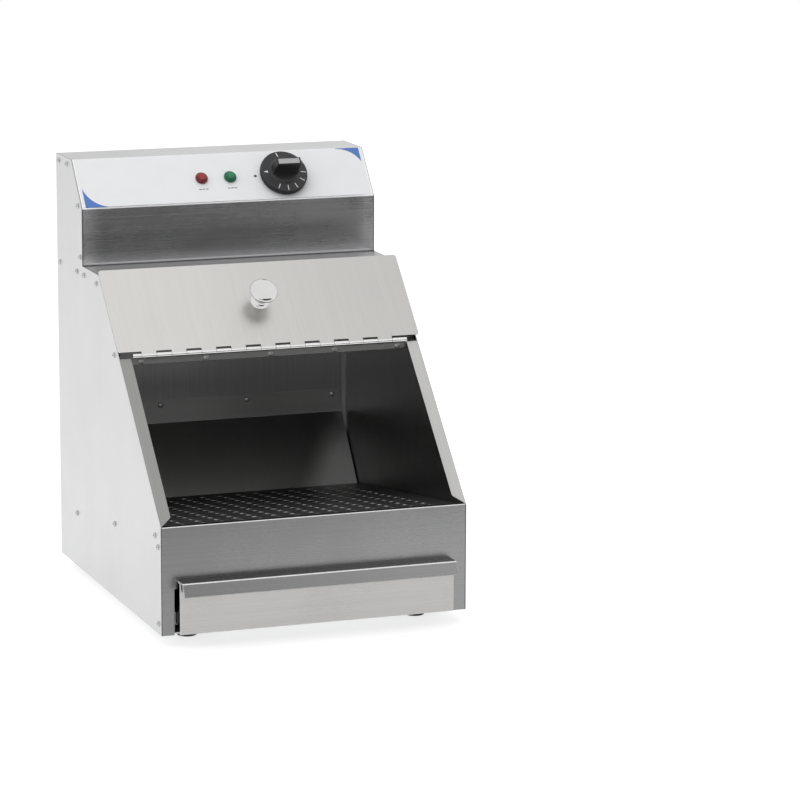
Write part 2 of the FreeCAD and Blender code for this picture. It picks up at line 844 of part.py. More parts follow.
def hatch_knob():
    """Turned mushroom knob with a tapped blind hole."""
    head_foot = knob_length - knob_head_height
    flat = knob_head_radius * 0.3
    points = [
        Vector(0, 0, 0), Vector(knob_base_radius, 0, 0), Vector(knob_base_radius, 0, 1.6),
        Vector(knob_neck_radius, 0, 7.5), Vector(knob_neck_radius, 0, head_foot - 4.0),
        Vector(knob_head_radius, 0, head_foot + knob_rim_height),
        Vector(flat, 0, knob_length), Vector(0, 0, knob_length),
    ]
    middles = {
        2: Vector(knob_neck_radius + 0.9, 0, 3.4),
        4: Vector(knob_neck_radius + 6.0, 0, head_foot - 1.2),
        5: Vector(knob_head_radius - 2.6, 0, knob_length - 2.2),
    }
    edges = []
    for index, (start, end) in enumerate(zip(points, points[1:])):
        if index in middles:
            edges.append(Part.Arc(start, middles[index], end).toShape())
        else:
            edges.append(Part.LineSegment(start, end).toShape())
    edges.append(Part.LineSegment(points[-1], points[0]).toShape())
    knob = Part.Face(Part.Wire(edges)).revolve(Vector(0, 0, 0), Vector(0, 0, 1), 360)
    knob = knob.cut(Part.makeCylinder(knob_screw_radius + screw_fit, knob_screw_depth + 1))
    return placed(knob, slope_frame(0, knob_down, hatch_face))


def knob_screw():
    """Screw and washer that hold the knob from inside the hatch."""
    shank = rod(Vector(0, 0, -sheet), Vector(0, 0, knob_screw_depth), knob_screw_radius)
    washer = Part.makeCylinder(6.0, 1.0, Vector(0, 0, -sheet - 1.0))
    head = Part.makeCylinder(4.3, 1.8, Vector(0, 0, -sheet - 2.8))
    return placed(fuse([shank, washer, head]), slope_frame(0, knob_down, hatch_face))


def hatch_buffers():
    """Two rubber buffers on the shelf's lip, which the closed hatch rests on."""
    height = hatch_face - sheet - hatch_rest_gap
    pads = []
    for x in (-half_width + buffer_inset, half_width - buffer_inset):
        top_radius = buffer_radius - buffer_taper
        pad = revolve_profile([(0, 0), (buffer_radius, 0), (top_radius, height), (0, height)])
        pads.append(placed(pad, slope_frame(x, lip_length / 2)))
    return Part.makeCompound(pads)


def hinge_leaf():
    """Fixed hinge leaf: rolled knuckles on a strip that hangs down in front of the rail."""
    half = hinge_length / 2
    back = rail_front_y
    strip = box(
        -half, half, back - sheet, back, pin_centre.z - leaf_drop - knuckle_radius, pin_centre.z
    )
    notch_foot = pin_centre.z - knuckle_radius - leaf_notch_gap
    for x0, x1 in knuckle_spans(fixed=False):
        notch = box(
            x0 - knuckle_gap, x1 + knuckle_gap, back - sheet - 1, back + 1, notch_foot, pin_centre.z + 1
        )
        strip = strip.cut(notch)
    pieces = [strip] + [knuckle(span) for span in knuckle_spans(fixed=True)]
    leaf = fuse(pieces).cut(pin_bore(running_clearance))
    for seat in hinge_rivet_seats():
        leaf = leaf.cut(
            rod(seat - Vector(0, 1, 0), seat + Vector(0, 2 * sheet, 0), rivet_radius + screw_fit)
        )
    return leaf


def hinge_rivet_seats():
    """Front seats of the rivets through the hinge leaf."""
    z = pin_centre.z - knuckle_radius - leaf_drop / 2
    reach = hinge_length / 2 - hinge_rivet_inset
    pitch = 2 * reach / (hinge_rivet_count - 1)
    return [Vector(step * pitch - reach, rail_front_y - sheet, z) for step in range(hinge_rivet_count)]


def hinge_pin():
    """Hinge pin through all knuckles."""
    half = hinge_length / 2
    return rod(
        Vector(-half, pin_centre.y, pin_centre.z), Vector(half, pin_centre.y, pin_centre.z), pin_radius
    )


def hinge_rail():
    """Cross rail behind the hinge leaf, with an end tab on each side panel."""
    section = [
        (rail_front_y, rail_top), (rail_front_y, rail_top - rail_height),
        (rail_front_y + rail_depth, rail_top - rail_height)
    ]
    rail = cross_sheet(section, -inner_x, inner_x)
    tab_low = rail_top - rail_height + sheet / 2
    tab_front = rail_front_y + sheet / 2
    tab_rear = rail_front_y + rail_tab_depth
    tab_top = rail_top + rail_tab_rise
    tab_outline = [
        (tab_front, tab_low), (tab_rear, tab_low), (tab_rear, tab_top),
        (tab_front + 2 * rail_tab_rise, tab_top), (tab_front, rail_top),
    ]
    tab = profile_plate(tab_outline, -inner_x, -inner_x + sheet)
    rail = fuse([rail, tab, tab.mirror(Vector(0, 0, 0), Vector(1, 0, 0))])
    for seat in hinge_rivet_seats():
        rail = rail.cut(rod(seat, seat + Vector(0, 4 * sheet, 0), rivet_radius + screw_fit))
    return cut_sides(rail, rail_screws)


def hinge_rivets():
    """Rivets that join the hinge leaf and its rail."""
    return Part.makeCompound(
        [rivet(seat, Vector(0, 1, 0), 2 * sheet + rivet_tail) for seat in hinge_rivet_seats()]
    )


def perforated_deck():
    """Sloping deck plate with an upturned front lip and a square grid of holes."""
    half = inner_x - deck_side_gap
    rear_y = deck_front_y + deck_length
    section = [
        (deck_front_y, deck_front_height + deck_lip), (deck_front_y, deck_front_height - sheet),
        (rear_y, deck_height(rear_y) - sheet),
    ]
    deck = cross_sheet(section, -half, half)
    columns = int((2 * (half - deck_side_margin)) / hole_pitch_x)
    rows = int((deck_length - deck_front_margin - 10) / hole_pitch_y)
    drills = []
    for column in range(columns + 1):
        x = (column - columns / 2) * hole_pitch_x
        for row in range(rows):
            y = deck_front_y + deck_front_margin + row * hole_pitch_y
            z = deck_height(y)
            if abs(x) > half - runner_flange - hole_radius - 2:
                continue
            drills.append(rod(Vector(x, y, z - 4), Vector(x, y, z + 2), hole_radius))
    return deck.cut(Part.makeCompound(drills))


def left_deck_runner():
    """Angle on the side panel that carries one edge of the deck."""
    front_y = runner_front_y
    rear_y = chute_foot_y - 1.0
    top = deck_height(front_y) - sheet - deck_seat_gap
    fall = deck_height(front_y) - deck_height(rear_y)
    section = [(0, 0), (0, runner_web), (runner_flange, runner_web)]
    origin = Vector(-inner_x, front_y, top - runner_web)
    run = Vector(0, rear_y - front_y, -fall)
    runner = folded_sheet(section, Vector(1, 0, 0), Vector(0, 0, 1), origin, run, side=-1)
    for hole in side_holes(runner_screws):
        runner = runner.cut(hole)
    return runner


def chute_section():
    """Section of the rear chute as (y, z) points along its bay side."""
    band_y = back_y - sheet
    return [
        (band_y, band_foot_height + band_height), (band_y, band_foot_height),
        (chute_foot_y, deck_height(chute_foot_y) - 3.0), (chute_foot_y, base_top + sheet),
        (chute_foot_y - chute_foot, base_top + sheet),
    ]


def rear_chute():
    """Sloping sheet behind the deck, riveted to the rear panel by its band."""
    half = inner_x - sheet - 0.3
    chute = cross_sheet(chute_section(), -half, half, side=1)
    for seat in band_rivet_seats():
        chute = chute.cut(
            rod(seat - Vector(0, 1, 0), seat + Vector(0, 2 * sheet, 0), rivet_radius + screw_fit)
        )
    return chute


def band_rivet_seats():
    """Front seats of the rivets through the chute's band."""
    z = band_foot_height + band_height - band_rivet_drop
    reach = inner_x - chute_rivet_inset
    pitch = 2 * reach / (chute_rivet_count - 1)
    return [Vector(step * pitch - reach, back_y - sheet, z) for step in range(chute_rivet_count)]


def chute_rivets():
    """Rivets that hold the chute's band to the rear panel."""
    return Part.makeCompound([rivet(seat, Vector(0, 1, 0), 2 * sheet) for seat in band_rivet_seats()])


def drawer_front():
    """Boxed drawer front that stands proud of the front panel."""
    half = drawer_front_width / 2
    low = drawer_front_bottom
    high = low + drawer_front_height
    face_y = -drawer_proud
    plate = box(-half, half, face_y, face_y + sheet, low, high)
    left_return = box(-half, -half + sheet, face_y, face_y + drawer_return, low, high)
    right_return = box(half - sheet, half, face_y, face_y + drawer_return, low, high)
    bottom_return = box(-half, half, face_y, face_y + drawer_return, low, low + sheet)
    top_return = box(-half, half, face_y, -1.5, high - sheet, high)
    return fuse([plate, left_return, right_return, bottom_return, top_return])


def drawer_handle():
    """Full-width lip on top of the drawer front, bent down for the fingers."""
    top = drawer_front_bottom + drawer_front_height + sheet
    lip_y = -(drawer_proud + handle_reach)
    section = [(-drawer_stop_gap, top), (lip_y, top), (lip_y - handle_droop, top - handle_fall)]
    half = drawer_front_width / 2
    return cross_sheet(section, -half, half)


def drawer_pan():
    """Crumb pan behind the drawer front."""
    half = pan_width / 2
    front_y = pan_front_y
    rear_y = front_y + pan_depth
    outside = box(-half, half, front_y, rear_y, pan_bottom, pan_bottom + pan_height)
    hollow = box(
        -half + sheet, half - sheet, front_y + sheet, rear_y - sheet, pan_bottom + sheet,
        pan_bottom + pan_height + 1
    )
    return outside.cut(hollow)


def left_drawer_runner():
    """Stepped runner on the side panel that guides and carries one side of the pan."""
    guide_x = pan_width / 2 + pan_clearance
    shoulder = runner_shoulder_height
    section = [
        (-inner_x, shoulder + return_depth), (-inner_x, shoulder), (-guide_x - sheet, shoulder),
        (-guide_x - sheet, ledge_top - sheet), (-guide_x + runner_ledge, ledge_top - sheet),
    ]
    run = Vector(0, chute_foot_y - return_depth - 6.0, 0)
    origin = Vector(0, runner_front_y, 0)
    return folded_sheet(section, Vector(1, 0, 0), Vector(0, 0, 1), origin, run, side=1)


def foot_places():
    """Centres of the four feet."""
    x = half_width - foot_inset_x
    return [
        (-x, foot_inset_y), (x, foot_inset_y), (-x, cabinet_depth - foot_inset_y),
        (x, cabinet_depth - foot_inset_y)
    ]


def foot(x, y):
    """Rubber foot with a recess for its screw's head."""
    top = foot_height + sheet
    body = revolve_profile([
        (0, 0), (foot_radius - foot_taper, 0), (foot_radius, foot_taper), (foot_radius, top), (0, top),
    ])
    body = body.cut(Part.makeCylinder(foot_recess_radius, foot_recess_depth))
    body = body.cut(Part.makeCylinder(foot_screw_radius + screw_fit, foot_height + 2 * sheet))
    return body.translated(Vector(x, y, -foot_height))


def foot_fasteners():
    """Screws and nuts that hold the feet to the base plate."""
    pieces = []
    for x, y in foot_places():
        seat = foot_recess_depth - foot_height
        shank = rod(
            Vector(x, y, seat), Vector(x, y, base_top + foot_nut_height + 0.5), foot_screw_radius
        )
        head = rod(Vector(x, y, seat), Vector(x, y, seat - 2.6), foot_recess_radius - 0.8)
        nut = hex_prism(foot_nut_flats, foot_nut_height).translated(Vector(x, y, base_top))
        pieces.append(fuse([shank, head, nut]))
    return Part.makeCompound(pieces)


def side_screws():
    """Pan-head screws through both side panels."""
    pieces = []
    for y, z in side_screw_places:
        screw = pan_screw(Vector(-half_width, y, z), Vector(1, 0, 0), screw_length)
        pieces.append(screw)
        pieces.append(screw.mirror(Vector(0, 0, 0), Vector(1, 0, 0)))
    return Part.makeCompound(pieces)


def base_rivet_seats():
    """Lower seats of the rivets that join the base plate to the side flanges."""
    x = half_width - side_flange / 2
    pitch = (cabinet_depth - base_rivet_rear_inset - base_rivet_front_inset) / (base_rivet_count - 1)
    rows = [base_rivet_front_inset + step * pitch for step in range(base_rivet_count)]
    return [Vector(side * x, y, 0) for side in (-1, 1) for y in rows]


def base_rivets():
    """Rivets through the side flanges and the base plate."""
    return Part.makeCompound(
        [rivet(seat, Vector(0, 0, 1), base_top + rivet_tail) for seat in base_rivet_seats()]
    )


def rear_panel_screws():
    """Screws through the foot of the rear panel into the base plate's upstand."""
    return Part.makeCompound(
        [pan_screw(seat, Vector(0, -1, 0), screw_length) for seat in rear_screw_seats()]
    )


def lamp_lens(x):
    """Stepped lens of a pilot lamp."""
    top = lens_length
    section = [
        (0, 0), (lens_radius, 0), (lens_radius, lens_flange - lens_edge),
        (lens_radius - lens_edge, lens_flange),
        (lens_step_radius, lens_flange), (lens_step_radius, top - 2 * lens_edge),
        (lens_step_radius - 1.4, top - 0.2), (0, top),
    ]
    return placed(revolve_profile(section), panel_frame(x, control_row, fascia_thickness))


def lamp_body(x):
    """Lamp holder behind the panel, with its retaining collar and two tags."""
    barrel = Part.makeCylinder(
        lamp_body_radius, lamp_body_length, Vector(0, 0, fascia_thickness - lamp_body_length)
    )
    collar_foot = Vector(0, 0, -sheet - lamp_collar_height)
    collar = Part.makeCylinder(lamp_body_radius + lamp_collar_rim, lamp_collar_height, collar_foot)
    tag_foot = fascia_thickness - lamp_body_length - lamp_tag_length + tag_overlap
    tags = []
    for tag_x in (-lamp_tag_spread / 2, lamp_tag_spread / 2):
        corner = Vector(tag_x - tag_thickness / 2, -lamp_tag_width / 2, tag_foot)
        tags.append(Part.makeBox(tag_thickness, lamp_tag_width, lamp_tag_length, corner))
    return placed(fuse([barrel, collar] + tags), panel_frame(x, control_row))


def dial():
    """Skirted dial with a notched rim and a grip bar, bored for its spindle."""
    boss_top = dial_skirt_height + dial_boss_height
    skirt = revolve_profile([
        (0, 0), (dial_radius - dial_foot_edge, 0), (dial_radius, dial_foot_edge),
        (dial_radius, dial_rim_height),
        (dial_radius - dial_rim_bevel, dial_rim_height + dial_rim_bevel_height),
        (dial_boss_radius, dial_skirt_height),
        (dial_boss_radius - dial_boss_bevel, boss_top), (0, boss_top)])
    notches = []
    for step in range(dial_notches):
        angle = math.radians(360 * step / dial_notches)
        centre = Vector(dial_radius * math.cos(angle), dial_radius * math.sin(angle), -1)
        notches.append(Part.makeCylinder(dial_notch_radius, boss_top, centre))
    skirt = skirt.cut(Part.makeCompound(notches))
    grip_foot = rectangle(grip_length, grip_width, dial_skirt_height)
    grip_top = rectangle(grip_length - 2 * grip_draft, grip_width - 2 * grip_draft, grip_height)
    grip = Part.makeLoft([grip_foot, grip_top], True, True)
    knob = fuse([skirt, grip])
    pocket_corner = Vector(-insert_length / 2, -insert_width / 2, grip_height - insert_depth)
    pocket = Part.makeBox(insert_length, insert_width, 2 * insert_depth, pocket_corner)
    bore = Part.makeCylinder(spindle_radius, spindle_depth + 1, Vector(0, 0, -1))
    knob = knob.cut(pocket).cut(bore)
    return placed(knob, panel_frame(dial_x, control_row, fascia_thickness + dial_lift))


def rectangle(length, width, level):
    """Closed rectangle about local Z at a level."""
    x = length / 2
    y = width / 2
    return Part.makePolygon(
        [Vector(u, v, level) for u, v in ((-x, -y), (x, -y), (x, y), (-x, y), (-x, -y))]
    )


def dial_insert():
    """Bright strip let into the top of the dial's grip."""
    corner = Vector(-insert_length / 2, -insert_width / 2, grip_height - insert_depth)
    strip = Part.makeBox(insert_length, insert_width, insert_depth + insert_proud, corner)
    return placed(strip, panel_frame(dial_x, control_row, fascia_thickness + dial_lift))


thermostat_face = -sheet


def dial_spindle():
    """Thermostat spindle, from inside its body to the dial's bore."""
    top = fascia_thickness + dial_lift + spindle_depth
    foot_level = thermostat_face - spindle_seat_depth
    return placed(
        Part.makeCylinder(spindle_radius, top - foot_level, Vector(0, 0, foot_level)),
        panel_frame(dial_x, control_row)
    )


def thermostat_body():
    """Capillary thermostat behind the panel, with a running bore for its spindle."""
    body_corner = Vector(
        -thermostat_width / 2, -thermostat_height / 2, thermostat_face - thermostat_depth
    )
    body = Part.makeBox(thermostat_width, thermostat_height, thermostat_depth, body_corner)
    body = body.makeFillet(
        1.5, [edge for edge in body.Edges if abs(edge.tangentAt(edge.FirstParameter).z) > 0.9]
    )
    tag_foot = thermostat_face - thermostat_depth - thermostat_tag_length
    tags = []
    for tag_x in (-thermostat_tag_spread / 2, thermostat_tag_spread / 2):
        corner = Vector(tag_x - tag_thickness / 2, -thermostat_tag_width / 2, tag_foot)
        tags.append(
            Part.makeBox(
                tag_thickness, thermostat_tag_width, thermostat_tag_length + tag_overlap, corner
            )
        )
    depth = spindle_seat_depth + spindle_end_gap
    bore = Part.makeCylinder(
        spindle_radius + running_clearance, depth + 1, Vector(0, 0, thermostat_face - depth)
    )
    body = fuse([body] + tags).cut(bore)
    body = placed(body, panel_frame(dial_x, control_row))
    for x in thermostat_screw_xs():
        drill = Part.makeCylinder(screw_radius + screw_fit, 8, Vector(0, 0, -7))
        body = body.cut(placed(drill, panel_frame(x, control_row)))
    port_end = Vector(capillary_x, capillary_y, capillary_top + 0.5)
    port = rod(port_end, port_end - Vector(0, 0, thermostat_height), capillary_radius + screw_fit)
    return body.cut(port)


def thermostat_screws():
    """Two low-head screws through the panel into the thermostat."""
    pieces = []
    for x in thermostat_screw_xs():
        shank = Part.makeCylinder(screw_radius, 6.0, Vector(0, 0, -6.0))
        head = Part.makeCylinder(screw_head_radius, fascia_thickness)
        pieces.append(placed(fuse([shank, head]), panel_frame(x, control_row)))
    return Part.makeCompound(pieces)


# The capillary leaves the thermostat's foot, drops through the roof and ends in the bulb
capillary_x = dial_x
capillary_y = panel_foot.y + panel_up.y * control_row - panel_out.y * (sheet + thermostat_depth / 2)
capillary_top = panel_foot.z + panel_up.z * control_row - panel_out.z * (
    sheet + thermostat_depth / 2
) - 10.0
bulb_start_x = capillary_x - bulb_lead
bulb_level = roof_underside - reflector_depth - bulb_drop
bulb_y = element_front_y - reflector_margin - bulb_gap


def thermostat_bulb():
    """Capillary tube with the sensing bulb at its end, clipped under the roof."""
    start = Vector(capillary_x, capillary_y, capillary_top)
    corner = Vector(capillary_x, capillary_y, bulb_level)
    turn = Vector(capillary_x, bulb_y, bulb_level)
    end = Vector(bulb_start_x, bulb_y, bulb_level)
    capillary = tube([start, corner, turn, end], capillary_bend, capillary_radius)
    bulb = rod(end + Vector(0.5, 0, 0), end - Vector(bulb_length, 0, 0), bulb_radius)
    return fuse([capillary, bulb])


def capillary_grommet():
    """Bush that guards the capillary where it passes the roof."""
    centre = Vector(capillary_x, capillary_y, 0)
    foot_end = centre + Vector(0, 0, roof_underside - grommet_flange)
    head_end = centre + Vector(0, 0, shelf_height + grommet_flange)
    rim_radius = grommet_radius + grommet_flange
    neck = rod(foot_end, head_end, grommet_radius)
    upper = rod(centre + Vector(0, 0, shelf_height), head_end, rim_radius)
    lower = rod(foot_end, centre + Vector(0, 0, roof_underside), rim_radius)
    over = Vector(0, 0, 1)
    bore = rod(foot_end - over, head_end + over, capillary_radius + screw_fit)
    return fuse([neck, upper, lower]).cut(bore)


def bulb_clips():
    """Two clips that hang the bulb from the roof in front of the reflector."""
    clips = []
    for share in (0.2, 0.8):
        x = bulb_start_x - bulb_length * share
        left = x - clip_width / 2
        right = x + clip_width / 2
        stem_rear = bulb_y + clip_thickness / 2
        ring = rod(
            Vector(left, bulb_y, bulb_level), Vector(right, bulb_y, bulb_level),
            bulb_radius + clip_thickness
        )
        stem = box(
            left, right, bulb_y - clip_thickness / 2, stem_rear, bulb_level + bulb_radius,
            roof_underside - clip_thickness / 2
        )
        foot_plate = box(
            left, right, bulb_y - clip_width, stem_rear, roof_underside - clip_thickness, roof_underside
        )
        bore = rod(
            Vector(left - 1, bulb_y, bulb_level), Vector(right + 1, bulb_y, bulb_level),
            bulb_radius + screw_fit
        )
        clips.append(fuse([ring, stem, foot_plate]).cut(bore))
    return Part.makeCompound(clips)


element_level = roof_underside - element_drop


def element_ends():
    """Places where the element's two legs pass the roof."""
    return [(element_left_x, element_front_y), (element_left_x, element_rear_y)]


def heating_element():
    """Hairpin tubular element with both legs up through the roof."""
    top = shelf_height + element_leg_rise
    points = [
        Vector(element_left_x, element_front_y, top),
        Vector(element_left_x, element_front_y, element_level),
        Vector(element_right_x, element_front_y, element_level),
        Vector(element_right_x, element_rear_y, element_level),
        Vector(element_left_x, element_rear_y, element_level),
        Vector(element_left_x, element_rear_y, top),
    ]
    sheath = tube(points, element_bend, element_radius)
    studs = [
        rod(Vector(x, y, top - 0.5), Vector(x, y, top + element_stud_length), element_stud_radius)
        for x, y in element_ends()
    ]
    return fuse([sheath] + studs)


def element_nuts():
    """Flanged nuts that clamp the element's legs above the roof."""
    pieces = []
    for x, y in element_ends():
        flange = Part.makeCylinder(element_nut_flange_radius, element_nut_flange)
        nut = fuse([hex_prism(element_nut_flats, element_nut_height), flange])
        nut = nut.cut(Part.makeCylinder(element_radius + screw_fit, element_nut_height + 1))
        pieces.append(nut.translated(Vector(x, y, shelf_height)))
    return Part.makeCompound(pieces)


def reflector_span():
    """Front and rear edge of the reflector's tray."""
    return element_front_y - reflector_margin, element_rear_y + reflector_rear_margin


def heat_reflector():
    """Bright tray under the roof that throws the heat down."""
    front, rear = reflector_span()
    drop = reflector_depth
    section = [
        (front - reflector_flare, roof_underside - drop - sheet), (front, roof_underside - sheet),
        (rear, roof_underside - sheet), (rear + reflector_flare, roof_underside - drop - sheet),
    ]
    reach_left = element_left_x - reflector_end_margin
    reach_right = element_right_x + reflector_end_margin
    tray = cross_sheet(section, reach_left, reach_right)
    for x, y in element_ends():
        tray = tray.cut(
            rod(
                Vector(x, y, roof_underside - 4), Vector(x, y, roof_underside + 1),
                element_radius + reflector_hole_gap
            )
        )
    capillary_gap = grommet_radius + grommet_flange + reflector_hole_gap
    return tray.cut(
        rod(
            Vector(capillary_x, capillary_y, roof_underside - 6),
            Vector(capillary_x, capillary_y, roof_underside + 1), capillary_gap
        )
    )


def element_brackets():
    """Two hangers that carry the element and the guard under the reflector."""
    brackets = []
    centre_y = (element_front_y + element_rear_y) / 2
    span = (element_rear_y - element_front_y) / 2
    top = roof_underside - sheet
    foot_z = element_level - guard_drop
    front = element_front_y - hanger_margin
    rear = element_rear_y + hanger_margin
    for x in (element_left_x + hanger_left_inset, capillary_x - hanger_capillary_gap):
        left = x - hanger_thickness / 2
        strap = box(left, left + hanger_thickness, front, rear, foot_z, top)
        window = box(
            x - 2, x + 2, centre_y - span + hanger_rim, centre_y + span - hanger_rim,
            foot_z + hanger_rim, top - hanger_rim
        )
        strap = strap.cut(window)
        head = box(left, x + hanger_flange, front, rear, top - sheet, top)
        strap = fuse([strap, head])
        for y in (element_front_y, element_rear_y):
            strap = strap.cut(
                rod(
                    Vector(x - 2, y, element_level), Vector(x + 2, y, element_level),
                    element_radius + screw_fit
                )
            )
        for y in guard_bar_places():
            strap = strap.cut(
                rod(
                    Vector(x - 2, y, guard_level), Vector(x + 2, y, guard_level),
                    guard_wire_radius + screw_fit
                )
            )
        brackets.append(strap)
    return Part.makeCompound(brackets)


guard_level = element_level - guard_drop + guard_bar_rise


def guard_bar_places():
    """Places of the guard's long bars."""
    front = element_front_y - guard_side_margin
    rear = element_rear_y + guard_side_margin
    return [front + (rear - front) * step / (guard_bars - 1) for step in range(guard_bars)]


def element_guard():
    """Wire guard under the element."""
    x0 = element_left_x - guard_end_margin
    x1 = element_right_x + guard_end_margin
    past = guard_wire_radius + guard_bar_end
    bars = [
        rod(Vector(x0 - past, y, guard_level), Vector(x1 + past, y, guard_level), guard_wire_radius)
        for y in guard_bar_places()
    ]
    cross_level = guard_level + 2 * guard_wire_radius - guard_weld
    ends = []
    for x in (x0, x1):
        first = guard_bar_places()[0] - guard_cross_end
        last = guard_bar_places()[-1] + guard_cross_end
        ends.append(rod(Vector(x, first, cross_level), Vector(x, last, cross_level), guard_wire_radius))
    return fuse(bars + ends)


def terminal_screw_places():
    """Places of the terminal block's two screws."""
    reach = terminal_length / 2 - terminal_screw_inset
    return [(terminal_x - reach, terminal_y), (terminal_x + reach, terminal_y)]


def terminal_block():
    """Stepped terminal block on the roof, with its clamp screw wells."""
    reach = terminal_length / 2
    depth = terminal_width / 2
    low = box(
        terminal_x - reach, terminal_x + reach, terminal_y - depth, terminal_y + depth, shelf_height,
        terminal_step_level
    )
    reach = terminal_pitch * terminal_ways / 2
    depth = terminal_width / 4
    high = box(
        terminal_x - reach, terminal_x + reach, terminal_y - depth, terminal_y + depth, shelf_height,
        shelf_height + terminal_height
    )
    block = fuse([low, high])
    for step in range(terminal_ways):
        x = terminal_x + (step - (terminal_ways - 1) / 2) * terminal_pitch
        block = block.cut(
            rod(
                Vector(x, terminal_y, shelf_height + terminal_height / 2),
                Vector(x, terminal_y, shelf_height + terminal_height + 1), terminal_well_radius
            )
        )
    for x, y in terminal_screw_places():
        block = block.cut(
            rod(
                Vector(x, y, shelf_height - 1), Vector(x, y, shelf_height + terminal_height),
                screw_radius + screw_fit
            )
        )
    return block


def terminal_screws():
    """Screws that hold the terminal block to the roof."""
    seat = terminal_step_level
    return Part.makeCompound(
        [
            pan_screw(Vector(x, y, seat), Vector(0, 0, -1), seat - roof_underside)
            for x, y in terminal_screw_places()
        ]
    )


def cable_gland():
    """Gland body with its domed cap, clamped in the rear panel."""
    hexagon = hex_prism(gland_flats, gland_body_length)
    cap = revolve_profile([
        (0, gland_body_length), (gland_flats / 2 - 0.8, gland_body_length),
        (gland_flats / 2 - 0.8, gland_out - 4),
        (gland_bore_radius + 2.5, gland_out), (0, gland_out)])
    thread = Part.makeCylinder(
        gland_thread_radius, sheet + gland_nut_length + 3, Vector(0, 0, -sheet - gland_nut_length - 3)
    )
    gland = fuse([hexagon, cap, thread])
    gland = gland.cut(Part.makeCylinder(gland_bore_radius, 60, Vector(0, 0, -30)))
    return placed(gland, gland_frame())


def gland_frame():
    """Frame on the rear panel's outer face, local Z pointing backwards."""
    return frame_at(Vector(gland_x, cabinet_depth, gland_height), Vector(-1, 0, 0), Vector(0, 0, 1))


def gland_locknut():
    """Locknut inside the rear panel."""
    nut = hex_prism(gland_flats, gland_nut_length).translated(Vector(0, 0, -sheet - gland_nut_length))
    nut = nut.cut(Part.makeCylinder(gland_thread_radius + screw_fit, 30, Vector(0, 0, -20)))
    return placed(nut, gland_frame())


def wiring_loom():
    """Wires from the terminal block to the thermostat, the lamps and the element."""
    wires = []
    start_z = shelf_height + terminal_height
    lamp_tag_foot = fascia_thickness - lamp_body_length - lamp_tag_length + tag_overlap
    targets = [panel_frame(x, control_row, lamp_tag_foot).Base for x in (red_lamp_x, green_lamp_x)]
    tag_foot = thermostat_face - thermostat_depth - thermostat_tag_length
    targets.append(panel_frame(dial_x - thermostat_tag_spread / 2, control_row, tag_foot).Base)
    for index, target in enumerate(targets):
        x = terminal_x + (index + 1 - (terminal_ways - 1) / 2) * terminal_pitch
        rise = start_z + wire_rise + wire_spacing * index
        start = Vector(x, terminal_y, start_z - wire_seat)
        above = Vector(x, terminal_y, rise)
        low = target - panel_out * wire_lead
        wires.append(
            tube(
                [start, above, Vector(target.x, terminal_y, rise), low, target], wire_bend, wire_radius
            )
        )
    return Part.makeCompound(wires)


def write_node(name, shape):
    """Write one node in the finished frame: origin under the middle, on the standing surface."""
    moved = shape.copy()
    moved.translate(Vector(0, -frame_centre_y, foot_height))
    moved.exportStep("parts/" + name + ".step")


def mirrored(shape):
    """Mirror image across the middle plane."""
    return shape.mirror(Vector(0, 0, 0), Vector(1, 0, 0))


left_panel = left_side_panel()
left_runner = left_deck_runner()
left_guide = left_drawer_runner()
nodes = {
    "left_side_panel": left_panel,
    "right_side_panel": mirrored(left_panel),
    "front_panel": front_panel(),
    "rear_panel": rear_panel(),
    "base_plate": base_plate(),
    "roof_shelf": roof_shelf(),
    "control_cover": control_cover(),
    "control_fascia": control_fascia(),
    "index_dot": index_dot(),
    "hatch_door": hatch_door(),
    "hatch_knob": hatch_knob(),
    "knob_screw": knob_screw(),
    "hatch_buffers": hatch_buffers(),
    "hinge_leaf": hinge_leaf(),
    "hinge_pin": hinge_pin(),
    "hinge_rail": hinge_rail(),
    "hinge_rivets": hinge_rivets(),
    "perforated_deck": perforated_deck(),
    "left_deck_runner": left_runner,
    "right_deck_runner": mirrored(left_runner),
    "rear_chute": rear_chute(),
    "chute_rivets": chute_rivets(),
    "drawer_front": drawer_front(),
    "drawer_handle": drawer_handle(),
    "drawer_pan": drawer_pan(),
    "left_drawer_runner": left_guide,
    "right_drawer_runner": mirrored(left_guide),
    "foot_fasteners": foot_fasteners(),
    "side_screws": side_screws(),
    "base_rivets": base_rivets(),
    "rear_panel_screws": rear_panel_screws(),
    "red_lamp_lens": lamp_lens(red_lamp_x),
    "green_lamp_lens": lamp_lens(green_lamp_x),
    "red_lamp_body": lamp_body(red_lamp_x),
    "green_lamp_body": lamp_body(green_lamp_x),
    "dial": dial(),
    "dial_insert": dial_insert(),
    "dial_spindle": dial_spindle(),
    "thermostat_body": thermostat_body(),
    "thermostat_screws": thermostat_screws(),
    "thermostat_bulb": thermostat_bulb(),
    "capillary_grommet": capillary_grommet(),
    "bulb_clips": bulb_clips(),
    "heating_element": heating_element(),
    "element_nuts": element_nuts(),
    "heat_reflector": heat_reflector(),
    "element_brackets": element_brackets(),
    "element_guard": element_guard(),
    "terminal_block": terminal_block(),
    "terminal_screws": terminal_screws(),
    "cable_gland": cable_gland(),
    "gland_locknut": gland_locknut(),
    "wiring_loom": wiring_loom(),
}
for name, (x, y) in zip(("front_left", "front_right", "rear_left", "rear_right"), foot_places()):
    nodes["foot_" + name] = foot(x, y)

os.makedirs("parts", exist_ok=True)
for name, shape in nodes.items():
    write_node(name, shape)
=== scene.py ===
"""Looks of a counter-top chip warmer: sheets, hatch, hinge, deck, drawer, controls and heater."""

import json
import logging
import math
from dataclasses import dataclass
from enum import Enum
from typing import Any, Callable, Iterable, Sequence

import bmesh
import bpy
from mathutils import Matrix, Vector


